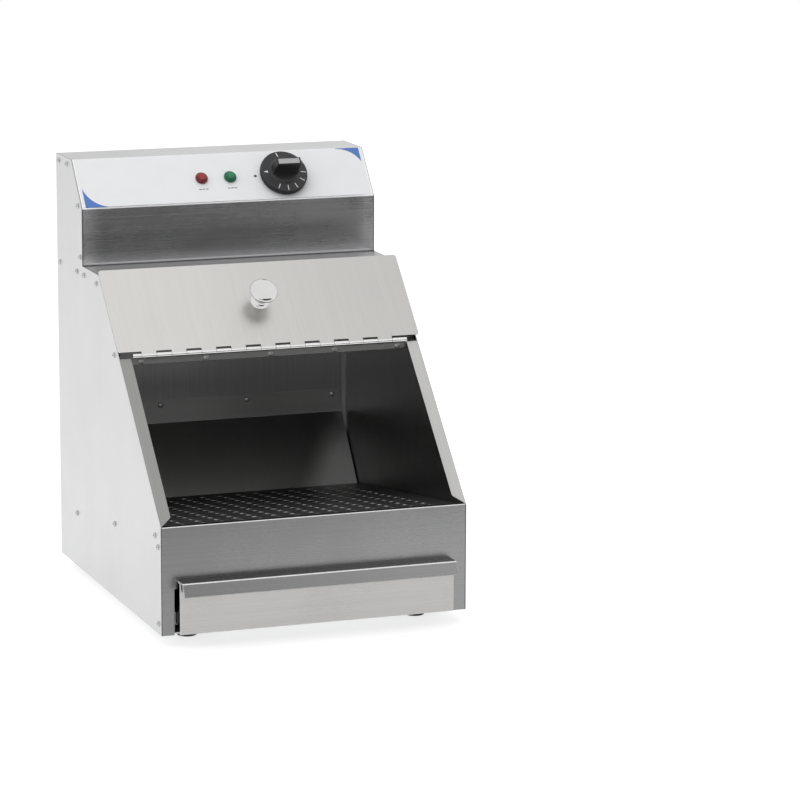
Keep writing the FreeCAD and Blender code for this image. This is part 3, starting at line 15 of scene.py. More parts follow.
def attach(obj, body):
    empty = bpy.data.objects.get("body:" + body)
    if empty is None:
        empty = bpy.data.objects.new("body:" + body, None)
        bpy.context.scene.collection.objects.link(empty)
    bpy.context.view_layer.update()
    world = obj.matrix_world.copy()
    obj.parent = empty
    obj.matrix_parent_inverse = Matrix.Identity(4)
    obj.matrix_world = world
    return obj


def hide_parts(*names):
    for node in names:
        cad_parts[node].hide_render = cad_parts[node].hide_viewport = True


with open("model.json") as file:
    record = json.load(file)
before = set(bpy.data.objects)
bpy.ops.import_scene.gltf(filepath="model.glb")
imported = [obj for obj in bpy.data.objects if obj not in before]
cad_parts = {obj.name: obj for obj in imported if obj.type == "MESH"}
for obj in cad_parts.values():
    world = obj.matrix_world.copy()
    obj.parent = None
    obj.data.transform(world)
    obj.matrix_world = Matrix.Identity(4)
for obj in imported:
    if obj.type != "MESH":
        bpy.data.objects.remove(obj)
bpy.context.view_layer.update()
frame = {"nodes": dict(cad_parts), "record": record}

MM = 0.001
# Places and sizes on the cabinet, in millimetres
FRAME_CENTRE_Y = 197.7
FOOT_HEIGHT = 13.0
HALF_WIDTH = 172.5
DEPTH = 400.0
CONTROL_ROW = 32.5
FASCIA = 0.5
# Fall of the deck for each unit of depth
DECK_FALL = 0.139
# Least part of a face's unit normal along the direction that it looks in
ALONG = 0.99
log = logging.getLogger("chip_warmer")

Triple = tuple[float, float, float]
Colour = Triple
Profile = tuple[tuple[float, float], ...]
BMesh = bmesh.types.BMesh
Edge = bmesh.types.BMEdge
Face = bmesh.types.BMFace
Material = bpy.types.Material
Object = bpy.types.Object
Socket = bpy.types.NodeSocket


def place(x: float, y: float, z: float) -> Vector:
    """Turn the cabinet's own millimetres into the frame's metres.

    Args:
        x: Distance to the right of the middle plane.
        y: Distance behind the front panel's face.
        z: Height above the cabinet's underside.

    Returns:
        The same place in the shared frame.
    """
    return Vector((x, y - FRAME_CENTRE_Y, z + FOOT_HEIGHT)) * MM


@dataclass(frozen=True)
class Plane:
    """A flat face of the cabinet with its own right, up and outward directions."""

    origin: Vector
    right: Vector
    up: Vector

    @property
    def out(self) -> Vector:
        """Direction that stands out of the face."""
        return self.right.cross(self.up)

    def matrix(self, across: float = 0.0, along: float = 0.0, lift: float = 0.0) -> Matrix:
        """Frame at a place on the face.

        Args:
            across: Millimetres to the right.
            along: Millimetres up the face.
            lift: Millimetres out of the face.

        Returns:
            A matrix whose X, Y and Z are the face's right, up and out.
        """
        spot = self.origin + (self.right * across + self.up * along + self.out * lift) * MM
        turn = Matrix((self.right, self.up, self.out)).transposed().to_4x4()
        return Matrix.Translation(spot) @ turn


RIGHT = Vector((1, 0, 0))
UP = Vector((0, 0, 1))
MOUTH = Plane(place(0, 229.5, 351.0), RIGHT, Vector((0, 229.5, 233.5)).normalized())
PANEL = Plane(place(0, 294.5, 415.0), RIGHT, Vector((0, 41.5, 50.0)).normalized())
DECK = Plane(place(0, 4.2, 116.3), RIGHT, Vector((0, 1, -DECK_FALL)).normalized())
LEFT_SIDE = Plane(place(-HALF_WIDTH, 0, 0), Vector((0, -1, 0)), UP)
RIGHT_SIDE = Plane(place(HALF_WIDTH, 0, 0), Vector((0, 1, 0)), UP)
REAR = Plane(place(0, DEPTH, 0), -RIGHT, UP)


# Materials


class Tree:
    """A node tree and the nodes that are added to it."""

    def __init__(self, tree: bpy.types.NodeTree) -> None:
        """Empty the tree.

        Args:
            tree: A material's or a world's tree.
        """
        self.tree = tree
        self.tree.nodes.clear()

    def add(
        self, kind: str, settings: dict[str, Any] | None = None, inputs: dict[Any, Any] | None = None
    ) -> bpy.types.Node:
        """Add any node.

        Args:
            kind: The node's type.
            settings: Values of its own settings, set first.
            inputs: Values, signals or sockets for its inputs, by name or place.

        Returns:
            The new node.
        """
        node = self.tree.nodes.new(kind)
        for key, value in (settings or {}).items():
            setattr(node, key, value)
        for key, value in (inputs or {}).items():
            self.feed(node.inputs[key], value)
        return node

    def feed(self, socket: Socket, value: Any) -> None:
        """Give a socket a constant, a signal or another node's output.

        Args:
            socket: The input to feed.
            value: What feeds it.
        """
        if isinstance(value, Signal):
            self.tree.links.new(value.socket, socket)
        elif isinstance(value, Socket):
            self.tree.links.new(value, socket)
        else:
            socket.default_value = value

    def backdrop_rays(self) -> "Signal":
        """Tell rays that look at the surroundings from those that light them.

        Returns:
            1 for rays from the camera, off a mirror or through glass, and 0 for the rest.
        """
        path = self.add("ShaderNodeLightPath")
        kinds = ("Is Camera Ray", "Is Glossy Ray", "Is Transmission Ray")
        straight, glossy, through = (Signal(self, path.outputs[kind]) for kind in kinds)
        return straight.math("MAXIMUM", straight.math("MAXIMUM", straight, glossy), through)


class Recipe(Tree):
    """One material's node tree, from its coordinates to its principled shader."""

    def __init__(self, name: str) -> None:
        """Start an empty tree with a shader and an output.

        Args:
            name: The material's name.
        """
        self.material = bpy.data.materials.new(name)
        self.material.use_nodes = True
        super().__init__(self.material.node_tree)
        self.shader = self.add("ShaderNodeBsdfPrincipled")
        self.output = self.add(
            "ShaderNodeOutputMaterial", None, {"Surface": self.shader.outputs["BSDF"]}
        )

    def coordinates(self, scale: Sequence[float] = (1, 1, 1)) -> Socket:
        """Object coordinates, stretched.

        Args:
            scale: Repeats per metre along each axis.

        Returns:
            The vector output.
        """
        source = self.add("ShaderNodeTexCoord")
        return self.add(
            "ShaderNodeMapping", None, {"Vector": source.outputs["Object"], "Scale": scale}
        ).outputs["Vector"]

    def noise(
        self, scale: float | Sequence[float], detail: float = 3.0, roughness: float = 0.55
    ) -> "Signal":
        """Noise from 0 to 1 that follows stretched object coordinates.

        Args:
            scale: Repeats per metre, for all axes or along each.
            detail: Number of finer layers.
            roughness: Weight of the finer layers.

        Returns:
            The noise as a signal.
        """
        vector = self.coordinates((scale,) * 3 if isinstance(scale, float) else scale)
        node = self.add(
            "ShaderNodeTexNoise", None,
            {"Vector": vector, "Scale": 1.0, "Detail": detail, "Roughness": roughness}
        )
        return Signal(self, node.outputs["Fac"])

    def distance_along(self, direction: Sequence[float], start: float = 0.0) -> "Signal":
        """Distance in metres along a direction, from a starting value.

        Args:
            direction: Unit direction in the object's frame.
            start: Distance that counts as zero.

        Returns:
            The distance as a signal.
        """
        dot = self.add(
            "ShaderNodeVectorMath", {"operation": "DOT_PRODUCT"},
            {0: self.coordinates(), 1: tuple(direction)}
        )
        return Signal(self, dot.outputs["Value"]) - start

    def blend(self, amount: "Signal", first: Any, second: Any) -> Socket:
        """Mix two colours.

        Args:
            amount: 0 gives the first colour and 1 the second.
            first: A colour or a colour output.
            second: A colour or a colour output.

        Returns:
            The mixed colour output.
        """
        given = {0: amount, 6: rgba(first), 7: rgba(second)}
        return self.add("ShaderNodeMix", {"data_type": "RGBA", "clamp_factor": True}, given).outputs[2]

    def tint(self, colour: Any, factor: "Signal") -> Socket:
        """Scale a colour by a varying factor.

        Args:
            colour: The colour socket.
            factor: What it is multiplied by.

        Returns:
            The colour socket that leaves the node.
        """
        node = self.add("ShaderNodeVectorMath", {"operation": "SCALE"}, {0: colour, "Scale": factor})
        return node.outputs["Vector"]

    def bump(self, height: "Signal", distance: float, strength: float = 1.0) -> None:
        """Let a signal feed the shader's normal as relief.

        Args:
            height: Relief from 0 to 1.
            distance: Height of the relief in metres.
            strength: Share of the relief that shows.
        """
        node = self.add(
            "ShaderNodeBump", None, {"Height": height, "Distance": distance, "Strength": strength}
        )
        self.feed(self.shader.inputs["Normal"], node.outputs["Normal"])

    def set(self, **values: Any) -> Material:
        """Feed the shader's sockets by name, with underscores for spaces.

        Args:
            **values: Constants, signals or sockets.

        Returns:
            The finished material.
        """
        for key, value in values.items():
            socket = self.shader.inputs[key.replace("_", " ")]
            self.feed(socket, rgba(value) if socket.type == "RGBA" else value)
        return self.material


class Signal:
    """A number that varies over a surface. Arithmetic on it adds Math nodes."""

    def __init__(self, recipe: Tree, socket: Socket) -> None:
        """Wrap a node's output.

        Args:
            recipe: The tree that the output belongs to.
            socket: The output.
        """
        self.recipe = recipe
        self.socket = socket

    def math(self, operation: str, first: Any, second: Any = 0.0) -> "Signal":
        """Add one Math node.

        Args:
            operation: The node's operation.
            first: Its first value.
            second: Its second value.

        Returns:
            The result as a signal.
        """
        node = self.recipe.add("ShaderNodeMath", {"operation": operation}, {0: first, 1: second})
        return Signal(self.recipe, node.outputs[0])

    def __add__(self, other: Any) -> "Signal":
        """Sum."""
        return self.math("ADD", self, other)

    __radd__ = __add__

    def __sub__(self, other: Any) -> "Signal":
        """Difference."""
        return self.math("SUBTRACT", self, other)

    def __rsub__(self, other: Any) -> "Signal":
        """Difference with the signal taken away."""
        return self.math("SUBTRACT", other, self)

    def __mul__(self, other: Any) -> "Signal":
        """Product."""
        return self.math("MULTIPLY", self, other)

    __rmul__ = __mul__

    def __pow__(self, other: Any) -> "Signal":
        """Power."""
        return self.math("POWER", self, other)

    def sine(self) -> "Signal":
        """Sine of the signal in radians."""
        return self.math("SINE", self)

    def step(self, low: float, high: float) -> "Signal":
        """Smooth step from 0 at low to 1 at high; low may be above high.

        Args:
            low: Value that gives 0.
            high: Value that gives 1.

        Returns:
            The step as a signal.
        """
        first, last, start, end = (low, high, 0.0, 1.0) if low < high else (high, low, 1.0, 0.0)
        inputs = {"Value": self, "From Min": first, "From Max": last, "To Min": start, "To Max": end}
        node = self.recipe.add("ShaderNodeMapRange", {"interpolation_type": "SMOOTHSTEP"}, inputs)
        return Signal(self.recipe, node.outputs["Result"])


def rgba(value: Any) -> Any:
    """Give a plain colour its fourth number, and leave sockets and signals alone."""
    return (*value, 1.0) if isinstance(value, tuple) and len(value) == 3 else value


def shade(colour: Colour, factor: float) -> Colour:
    """Scale a colour's brightness, up to white."""
    return tuple(min(1.0, part * factor) for part in colour)


class Grain(Enum):
    """Direction of the brush lines, as repeats per metre along X, Y and Z."""

    ACROSS = (5.0, 1500.0, 1500.0)
    DOWN = (1500.0, 5.0, 5.0)
    UPRIGHT = (1500.0, 1500.0, 5.0)


@dataclass(frozen=True)
class BrushedSteel:
    """Brushed stainless steel with fine lines, broader streaks and faint handling marks."""

    name: str
    tone: Colour = (0.66, 0.66, 0.665)
    grain: Grain = Grain.ACROSS
    contrast: float = 0.10
    roughness: float = 0.30
    relief: float = 0.00004
    clouds: float = 0.06
    # Strength of the painted shade from one side of the piece to the other
    drift: float = 0.0
    # Strength of the painted highlight towards both ends of the piece
    ends: float = 0.0
    metal: float = 1.0
    streak_share: float = 0.15
    soiled: float = 0.72

    def material(self) -> Material:
        """Make the finish's material, whose tone may be shaded across the piece as painted shade and
        lifted towards both ends as a painted highlight.

        Returns:
            The material.
        """
        recipe = Recipe(self.name)
        lines = recipe.noise(self.grain.value, 5.0, 0.7)
        streaks = recipe.noise(tuple(part / 12.0 for part in self.grain.value), 2.0)
        marks = recipe.noise(16.0, 3.0)
        depth = lines * (1.0 - self.streak_share) + streaks * self.streak_share
        dark, light = shade(self.tone, 1.0 - self.contrast), shade(self.tone, 1.0 + self.contrast)
        colour = recipe.blend(depth.step(0.3, 0.7), dark, light)
        colour = recipe.blend(
            marks.step(0.35, 0.8) * self.clouds, colour, shade(self.tone, self.soiled)
        )
        # Painted light: the tone is shaded from one side of the piece to the other and lifted towards
        # both ends as a painted highlight
        if self.drift or self.ends:
            across = recipe.distance_along(RIGHT) * (1.0 / (HALF_WIDTH * MM))
            painted_light_across = across.step(-1.0, 1.0) * (2.0 * self.drift) + (1.0 - self.drift)
            lift = (across * across).step(0.72, 1.02) * self.ends
            colour = recipe.tint(colour, painted_light_across + lift)
        recipe.bump(lines, self.relief)
        rough = depth * 0.12 + marks * 0.10 + (self.roughness - 0.11)
        return recipe.set(Base_Color=colour, Metallic=self.metal, Roughness=rough)


@dataclass(frozen=True)
class ChuteSteel:
    """Rear chute's steel in a dark copy of the steel as painted shade, with a painted reflection low on
    the right.
    """

    name: str = "chute_painted_shade_and_reflection"
    # Dark tone of the steel, as painted shade
    dark: Colour = (0.38, 0.38, 0.377)
    # Tone of the painted reflection
    light: Colour = (0.93, 0.93, 0.92)
    # Lean, edges across and up, and strength of the painted reflection
    painted_reflection_lean: float = 0.62
    across: tuple[float, float] = (0.040, 0.085)
    height: tuple[float, float] = (0.165, 0.11)
    strength: float = 0.95

    def material(self) -> Material:
        """Make the finish's material.

        Returns:
            The material.
        """
        recipe = Recipe(self.name)
        lines = recipe.noise(Grain.DOWN.value, 5.0, 0.7)
        folds = recipe.noise((9.0, 0.5, 1.5), 1.0)
        height = recipe.distance_along(UP)
        across = recipe.distance_along(RIGHT) - height * self.painted_reflection_lean
        # Painted reflection: a pale, non-metallic patch low on the right of the chute
        painted_reflection = across.step(*self.across) * height.step(*self.height) * self.strength
        base = recipe.blend(
            lines * 0.4 + folds.step(0.35, 0.65) * 0.3, self.dark, shade(self.dark, 1.35)
        )
        recipe.bump(lines, 0.00004)
        colour = recipe.blend(painted_reflection, base, self.light)
        return recipe.set(Base_Color=colour, Metallic=1.0 - painted_reflection, Roughness=lines * 0.12 + 0.24)


@dataclass(frozen=True)
class BrightMetal:
    """Plated, polished or plain metal without a brush direction."""

    name: str
    tone: Colour
    roughness: float
    mottle: float = 0.08
    relief: float = 0.0

    def material(self) -> Material:
        """Make the finish's material.

        Returns:
            The material.
        """
        recipe = Recipe(self.name)
        speckle = recipe.noise(420.0, 4.0)
        haze = recipe.noise(60.0, 2.0)
        colour = recipe.blend(
            haze.step(0.25, 0.75), shade(self.tone, 1.0 - self.mottle),
            shade(self.tone, 1.0 + self.mottle)
        )
        if self.relief:
            recipe.bump(speckle, self.relief)
        rough = speckle * 0.08 + haze * 0.08 + max(self.roughness - 0.08, 0.0)
        return recipe.set(Base_Color=colour, Metallic=1.0, Roughness=rough)


@dataclass(frozen=True)
class Moulding:
    """Moulded plastic or rubber with a fine grain and a slight bloom."""

    name: str
    tone: Colour
    roughness: float = 0.42
    grain: float = 900.0
    relief: float = 0.00003
    bloom: float = 0.25

    def material(self) -> Material:
        """Make the finish's material.

        Returns:
            The material.
        """
        recipe = Recipe(self.name)
        texture = recipe.noise(self.grain, 3.0)
        dust = recipe.noise(55.0, 3.0)
        dusty = tuple(part * 0.8 + 0.05 for part in self.tone)
        colour = recipe.blend(dust.step(0.4, 0.8) * self.bloom, self.tone, dusty)
        recipe.bump(texture, self.relief)
        return recipe.set(Base_Color=colour, Roughness=dust * 0.12 + (self.roughness - 0.06))


@dataclass(frozen=True)
class DeckCoating:
    """Dark satin coating on the deck, with faint rub marks."""

    name: str = "deck_coating"
    tone: Colour = (0.022, 0.022, 0.023)
    rubbed: Colour = (0.045, 0.045, 0.046)

    def material(self) -> Material:
        """Make the finish's material.

        Returns:
            The material.
        """
        recipe = Recipe(self.name)
        peel = recipe.noise(700.0, 3.0)
        rubs = recipe.noise((22.0, 90.0, 90.0), 3.0)
        colour = recipe.blend(rubs.step(0.45, 0.75), self.tone, self.rubbed)
        recipe.bump(peel, 0.00004)
        return recipe.set(
            Base_Color=colour, Roughness=rubs * 0.2 + 0.26, Metallic=0.0, Coat_Weight=rubs * 0.25
        )


@dataclass(frozen=True)
class WornRim:
    """Pressed hole rims whose crest shows bright metal through the coating."""

    name: str = "worn_hole_rims"
    coat: Colour = (0.03, 0.03, 0.031)
    bare: Colour = (0.82, 0.82, 0.82)

    def material(self) -> Material:
        """Make the finish's material.

        Returns:
            The material.
        """
        recipe = Recipe(self.name)
        height = recipe.distance_along(DECK.out, DECK.origin.dot(DECK.out))
        wear = recipe.noise(260.0, 3.0)
        worn = (height + wear * 0.0003).step(0.0002, 0.00042)
        colour = recipe.blend(worn, self.coat, self.bare)
        return recipe.set(Base_Color=colour, Metallic=worn, Roughness=0.42 - worn * 0.2)


@dataclass(frozen=True)
class PrintedFilm:
    """White label film, blue outside a quarter circle at its lower left and upper right corners."""

    name: str = "printed_film"
    white: Colour = (0.86, 0.87, 0.885)
    blue: Colour = (0.075, 0.19, 0.54)
    low_corner: tuple[float, float, float] = (-135.6, 33.4, 32.4)
    high_corner: tuple[float, float, float] = (139.6, 33.5, 30.2)
    border: float = 167.4
    blur: float = 0.1

    def corner(self, recipe: Recipe, spot: tuple[float, float, float], side: float) -> Signal:
        """Mask of one blue corner.

        Args:
            recipe: The material.
            spot: The quarter circle's centre across and up the panel, and its radius, in millimetres.
            side: -1 for the lower left corner and 1 for the upper right one.

        Returns:
            1 where the film is blue.
        """
        across = recipe.distance_along((side, 0.0, 0.0), side * spot[0] * MM)
        up = recipe.distance_along(PANEL.up * side, side * (PANEL.origin.dot(PANEL.up) + spot[1] * MM))
        reach = (across * across + up * up) ** 0.5
        soft, radius, end = self.blur * MM, spot[2] * MM, (self.border - side * spot[0]) * MM
        corner = across.step(-soft, soft) * up.step(-soft, soft) * across.step(end + soft, end - soft)
        return reach.step(radius - soft, radius + soft) * corner

    def material(self) -> Material:
        """Make the finish's material.

        Returns:
            The material.
        """
        recipe = Recipe(self.name)
        printed = self.corner(recipe, self.low_corner, -1.0) + self.corner(
            recipe, self.high_corner, 1.0
        )
        haze = recipe.noise(35.0, 3.0)
        stipple = recipe.noise(1600.0, 2.0)
        paper = recipe.blend(haze.step(0.3, 0.8), self.white, shade(self.white, 0.975))
        recipe.bump(stipple, 0.00002)
        return recipe.set(
            Base_Color=recipe.blend(printed, paper, self.blue), Roughness=haze * 0.1 + 0.34
        )


@dataclass(frozen=True)
class LampLens:
    """Coloured clear lens, darker towards its rim, with a faint glow from its inner ribs."""

    name: str
    tone: Colour
    deep: Colour
    centre: Vector

    def material(self) -> Material:
        """Make the finish's material.

        Returns:
            The material.
        """
        recipe = Recipe(self.name)
        across = recipe.distance_along(PANEL.right, self.centre.dot(PANEL.right))
        up = recipe.distance_along(PANEL.up, self.centre.dot(PANEL.up))
        reach = (across * across + up * up) ** 0.5
        ribs = (reach * 5200.0).sine()
        grain = recipe.noise(600.0, 2.0)
        rim = reach.step(0.0018, 0.0052)
        colour = recipe.blend(rim * 0.75 + ribs * 0.12, self.tone, self.deep)
        recipe.bump(ribs, 0.00008, 0.6)
        recipe.set(Transmission_Weight=0.25, IOR=1.49, Emission_Strength=0.05)
        return recipe.set(Base_Color=colour, Emission_Color=colour, Roughness=grain * 0.06 + 0.12)


def steel(
    name: str, tone: Colour, grain: Grain, contrast: float, roughness: float, **more: float
) -> Material:
    """Make the material of a brushed steel."""
    return BrushedSteel(name, tone, grain, contrast, roughness, **more).material()


class Finish:
    """Every finish of the chip warmer, made once."""

    def __init__(self) -> None:
        """Make all the materials."""
        self.side = steel(
            "side_steel", (0.60, 0.60, 0.605), Grain.UPRIGHT, 0.03, 0.34, relief=0.00002, clouds=0.03
        )
        # Painted shade: the side panels' cut edges in a dark copy of the steel, for the shadow line
        # along them
        self.painted_shade_cut_edge = steel("cut_edges_painted_shade", (0.13, 0.13, 0.133), Grain.ACROSS, 0.10, 0.40)
        # Painted highlight: bends, cut edges and the control cover's foot strip in a pale,
        # half-metallic copy of the steel that looks lit
        self.bend = steel("bent_edges_painted_highlight", (0.88, 0.88, 0.885), Grain.ACROSS, 0.04, 0.24, metal=0.4)
        # Painted highlight: bends of the rear panel and the chute in a pale, hardly metallic copy of
        # the steel that looks lit
        self.lit_bend = steel("rear_bends_painted_highlight", (0.85, 0.85, 0.85), Grain.UPRIGHT, 0.04, 0.3, metal=0.15)
        # Painted shade: the side panels' mouth flanges in a darker copy of the steel, lighter towards
        # the right
        self.flange = steel("flange_steel_painted_shade", (0.43, 0.427, 0.42), Grain.DOWN, 0.06, 0.32, drift=0.24)
        # Painted shade: the roof shelf in a dark copy of the steel
        self.shelf = steel("shelf_steel_painted_shade", (0.34, 0.34, 0.346), Grain.ACROSS, 0.08, 0.30)
        # Painted shade: the top of the control cover in a darker copy of the cover's steel, slightly
        # lighter towards the right
        self.roof = steel("cover_top_painted_shade", (0.48, 0.48, 0.485), Grain.ACROSS, 0.05, 0.30, drift=0.06)
        # Painted shade: the front panel in a dark copy of the steel, lighter towards the right
        self.front = steel("front_steel_painted_shade", (0.265, 0.265, 0.269), Grain.ACROSS, 0.07, 0.28, drift=0.10)
        self.drawer = steel("drawer_steel", (0.46, 0.452, 0.443), Grain.ACROSS, 0.06, 0.26)
        # Painted shade: the drawer's finger lip in a dark copy of the steel, lighter towards the right
        self.lip = steel("lip_steel_painted_shade", (0.25, 0.25, 0.253), Grain.ACROSS, 0.06, 0.28, drift=0.15)
        # Painted light: the control cover lighter towards the right and much lighter at both ends, as
        # painted highlights
        self.cover = steel(
            "cover_steel", (0.60, 0.60, 0.61), Grain.ACROSS, 0.09, 0.27, drift=0.06, ends=0.9
        )
        # Painted shade: the hatch darker towards its right side and lighter towards its left
        self.hatch = steel(
            "hatch_steel", (0.615, 0.607, 0.59), Grain.DOWN, 0.04, 0.33, relief=0.00003, clouds=0.04,
            drift=-0.09
        )
        # Painted shade: the hinge rail and the hinge leaf's front strip in a dark copy of the steel
        self.leaf = steel("leaf_steel_painted_shade", (0.25, 0.248, 0.245), Grain.ACROSS, 0.10, 0.34)
        # Painted shade: inside faces of the bay, the drawer pan and the deck runners in a dark copy of
        # the steel
        self.inner = steel("inner_steel_painted_shade", (0.30, 0.30, 0.302), Grain.UPRIGHT, 0.10, 0.34)
        # Painted shade: the rear panel in a dark copy of the steel
        self.wall = steel("wall_steel_painted_shade", (0.38, 0.38, 0.383), Grain.UPRIGHT, 0.10, 0.34)
        # Painted shade with a painted reflection low on the right
        self.chute = ChuteSteel().material()
        # Painted highlight: the hinge's knuckles and leaf, apart from its front strip, in a bright copy
        # of the steel
        self.hinge = steel("hinge_steel", (0.82, 0.82, 0.815), Grain.ACROSS, 0.05, 0.20)
        self.zinc = BrightMetal("zinc_plate", (0.58, 0.59, 0.60), 0.38, 0.14, 0.00003).material()
        self.fastener = BrightMetal("bright_fasteners", (0.50, 0.50, 0.50), 0.24).material()
        self.rivet = BrightMetal("aluminium_rivets", (0.66, 0.66, 0.67), 0.34, 0.1).material()
        # Painted shade: the hinge rivets in a dark copy of the rivets' metal
        self.painted_shade_rivet = BrightMetal("rivets_painted_shade", (0.30, 0.298, 0.295), 0.36, 0.1).material()
        self.polished = BrightMetal("polished_steel", (0.70, 0.70, 0.695), 0.10, 0.03).material()
        self.reflector = BrightMetal("reflector_sheet", (0.83, 0.83, 0.84), 0.22, 0.05).material()
        self.wire_guard = BrightMetal("plated_wire", (0.64, 0.64, 0.63), 0.26, 0.12).material()
        self.sheath = BrightMetal("heated_sheath", (0.16, 0.145, 0.135), 0.5, 0.3, 0.00004).material()
        self.copper = BrightMetal("copper_tube", (0.62, 0.33, 0.2), 0.36, 0.15).material()
        self.brass = BrightMetal("brass_nuts", (0.62, 0.46, 0.2), 0.3, 0.12).material()
        self.strip = steel("dial_strip", (0.42, 0.42, 0.425), Grain.ACROSS, 0.06, 0.3)
        self.black = Moulding("black_moulding", (0.016, 0.016, 0.018), 0.42, bloom=0.12).material()
        self.rubber = Moulding("black_rubber", (0.02, 0.02, 0.02), 0.62, 500.0, 0.00006).material()
        self.white_print = Moulding("white_marks", (0.78, 0.78, 0.78), 0.5, bloom=0.1).material()
        self.grey_print = Moulding("dark_marks", (0.045, 0.05, 0.06), 0.5, bloom=0.1).material()
        self.cream = Moulding("cream_phenolic", (0.56, 0.48, 0.33), 0.45).material()
        self.ivory = Moulding("ivory_polyamide", (0.72, 0.7, 0.62), 0.4).material()
        self.red_wire = Moulding("red_sleeving", (0.38, 0.03, 0.025), 0.55, 1500.0, 0.00005).material()
        self.deck = DeckCoating().material()
        self.rims = WornRim().material()
        self.film = PrintedFilm().material()


# Mesh helpers


def refined_copy(node: str, edge: float) -> BMesh:
    """Copy a CAD node with its flat faces made whole and its sharp edges eased.

    Args:
        node: The CAD node.
        edge: Width of the eased edges in millimetres, or 0 for none.

    Returns:
        The mesh, in the shared frame.
    """
    mesh = bmesh.new()
    mesh.from_mesh(frame["nodes"][node].data)
    bmesh.ops.remove_doubles(mesh, verts=mesh.verts[:], dist=2e-6)
    bmesh.ops.dissolve_limit(mesh, angle_limit=math.radians(0.6), use_dissolve_boundaries=False,
                             verts=mesh.verts[:], edges=mesh.edges[:])
    if edge:
        ease(mesh, edge)
    return mesh


def rounded(mesh: BMesh, edges: list[Edge], width: float, segments: int) -> None:
    """Round off chosen edges of a mesh.

    Args:
        mesh: The mesh to change.
        edges: Its edges to round.
        width: Width in millimetres.
        segments: Facets across each edge.
    """
    bmesh.ops.bevel(
        mesh, geom=edges, offset=width * MM, offset_type="OFFSET", segments=segments, profile=0.5,
        affect="EDGES", clamp_overlap=True, material=-1
    )


def ease(mesh: BMesh, width: float, segments: int = 2, least_angle: float = 50.0) -> None:
    """Round off the sharp edges of a mesh.

    Args:
        mesh: The mesh to change.
        width: Width in millimetres.
        segments: Facets across each edge.
        least_angle: Edges that turn by less stay, in degrees.
    """
    limit = math.radians(least_angle)
    sharp = [
        edge for edge in mesh.edges if len(edge.link_faces) == 2 and edge.calc_face_angle(0.0) > limit
    ]
    rounded(mesh, sharp, width, segments)


def fold_faces(mesh: BMesh, share: float = 0.008) -> set[Face]:
    """Find the narrow faces of a folded sheet: its bends and its cut edges.

    Args:
        mesh: The sheet.
        share: A direction that less than this part of the area faces counts as a bend or an edge.

    Returns:
        Those faces.
    """
    areas: dict[tuple[float, ...], float] = {}
    for face in mesh.faces:
        facing = tuple(round(part, 1) for part in face.normal)
        areas[facing] = areas.get(facing, 0.0) + face.calc_area()
    least = share * sum(areas.values())
    return {face for face in mesh.faces if areas[tuple(round(part, 1) for part in face.normal)] < least}


def moved(mesh: BMesh, matrix: Matrix) -> BMesh:
    """Move a whole mesh and hand it back."""
    bmesh.ops.transform(mesh, matrix=matrix, verts=mesh.verts[:])
    return mesh


def object_of(name: str, mesh: BMesh, materials: Iterable[Material]) -> Object:
    """Link an object made of a mesh.

    Args:
        name: The object's name.
        mesh: Its mesh, which is freed.
        materials: Its materials, in slot order.

    Returns:
        The object.
    """
    data = bpy.data.meshes.new(name)
    mesh.to_mesh(data)
    mesh.free()
    for material in materials:
        data.materials.append(material)
    made = bpy.data.objects.new(name, data)
    bpy.context.scene.collection.objects.link(made)
    return made


def turned(profile: Sequence[tuple[float, float]], steps: int = 48) -> BMesh:
    """Spin a profile about Z.

    Args:
        profile: Points as radius and height in millimetres, from the foot to the top.
        steps: Facets round the axis.

    Returns:
        The closed mesh, in metres, about its own Z axis.
    """
    mesh = bmesh.new()
    corners = [mesh.verts.new((radius * MM, 0, height * MM)) for radius, height in profile]
    edges = [mesh.edges.new(pair) for pair in zip(corners, corners[1:])]
    bmesh.ops.spin(
        mesh, geom=corners + edges, cent=(0, 0, 0), axis=(0, 0, 1), angle=math.tau, steps=steps,
        use_merge=True
    )
    bmesh.ops.remove_doubles(mesh, verts=mesh.verts[:], dist=1e-7)
    bmesh.ops.recalc_face_normals(mesh, faces=mesh.faces[:])
    return mesh


def block(
    size: Sequence[float], centre: Sequence[float], edge: float = 0.0, segments: int = 2
) -> BMesh:
    """Box with eased edges.

    Args:
        size: Full sizes in millimetres.
        centre: Its middle in millimetres.
        edge: Width of the eased edges in millimetres.
        segments: Facets across each edge.

    Returns:
        The mesh, in metres.
    """
    mesh = bmesh.new()
    bmesh.ops.create_cube(mesh, size=1.0)
    bmesh.ops.scale(mesh, vec=Vector(size) * MM, verts=mesh.verts[:])
    bmesh.ops.translate(mesh, vec=Vector(centre) * MM, verts=mesh.verts[:])
    if edge:
        ease(mesh, edge, segments)
    return mesh


def join(target: BMesh, piece: BMesh, matrix: Matrix | None = None) -> None:
    """Add a piece to a mesh and free it.

    Args:
        target: The mesh that grows.
        piece: The mesh to add.
        matrix: Where the piece goes.
    """
    if matrix is not None:
        moved(piece, matrix)
    held = bpy.data.meshes.new("held")
    piece.to_mesh(held)
    piece.free()
    target.from_mesh(held)
    bpy.data.meshes.remove(held)


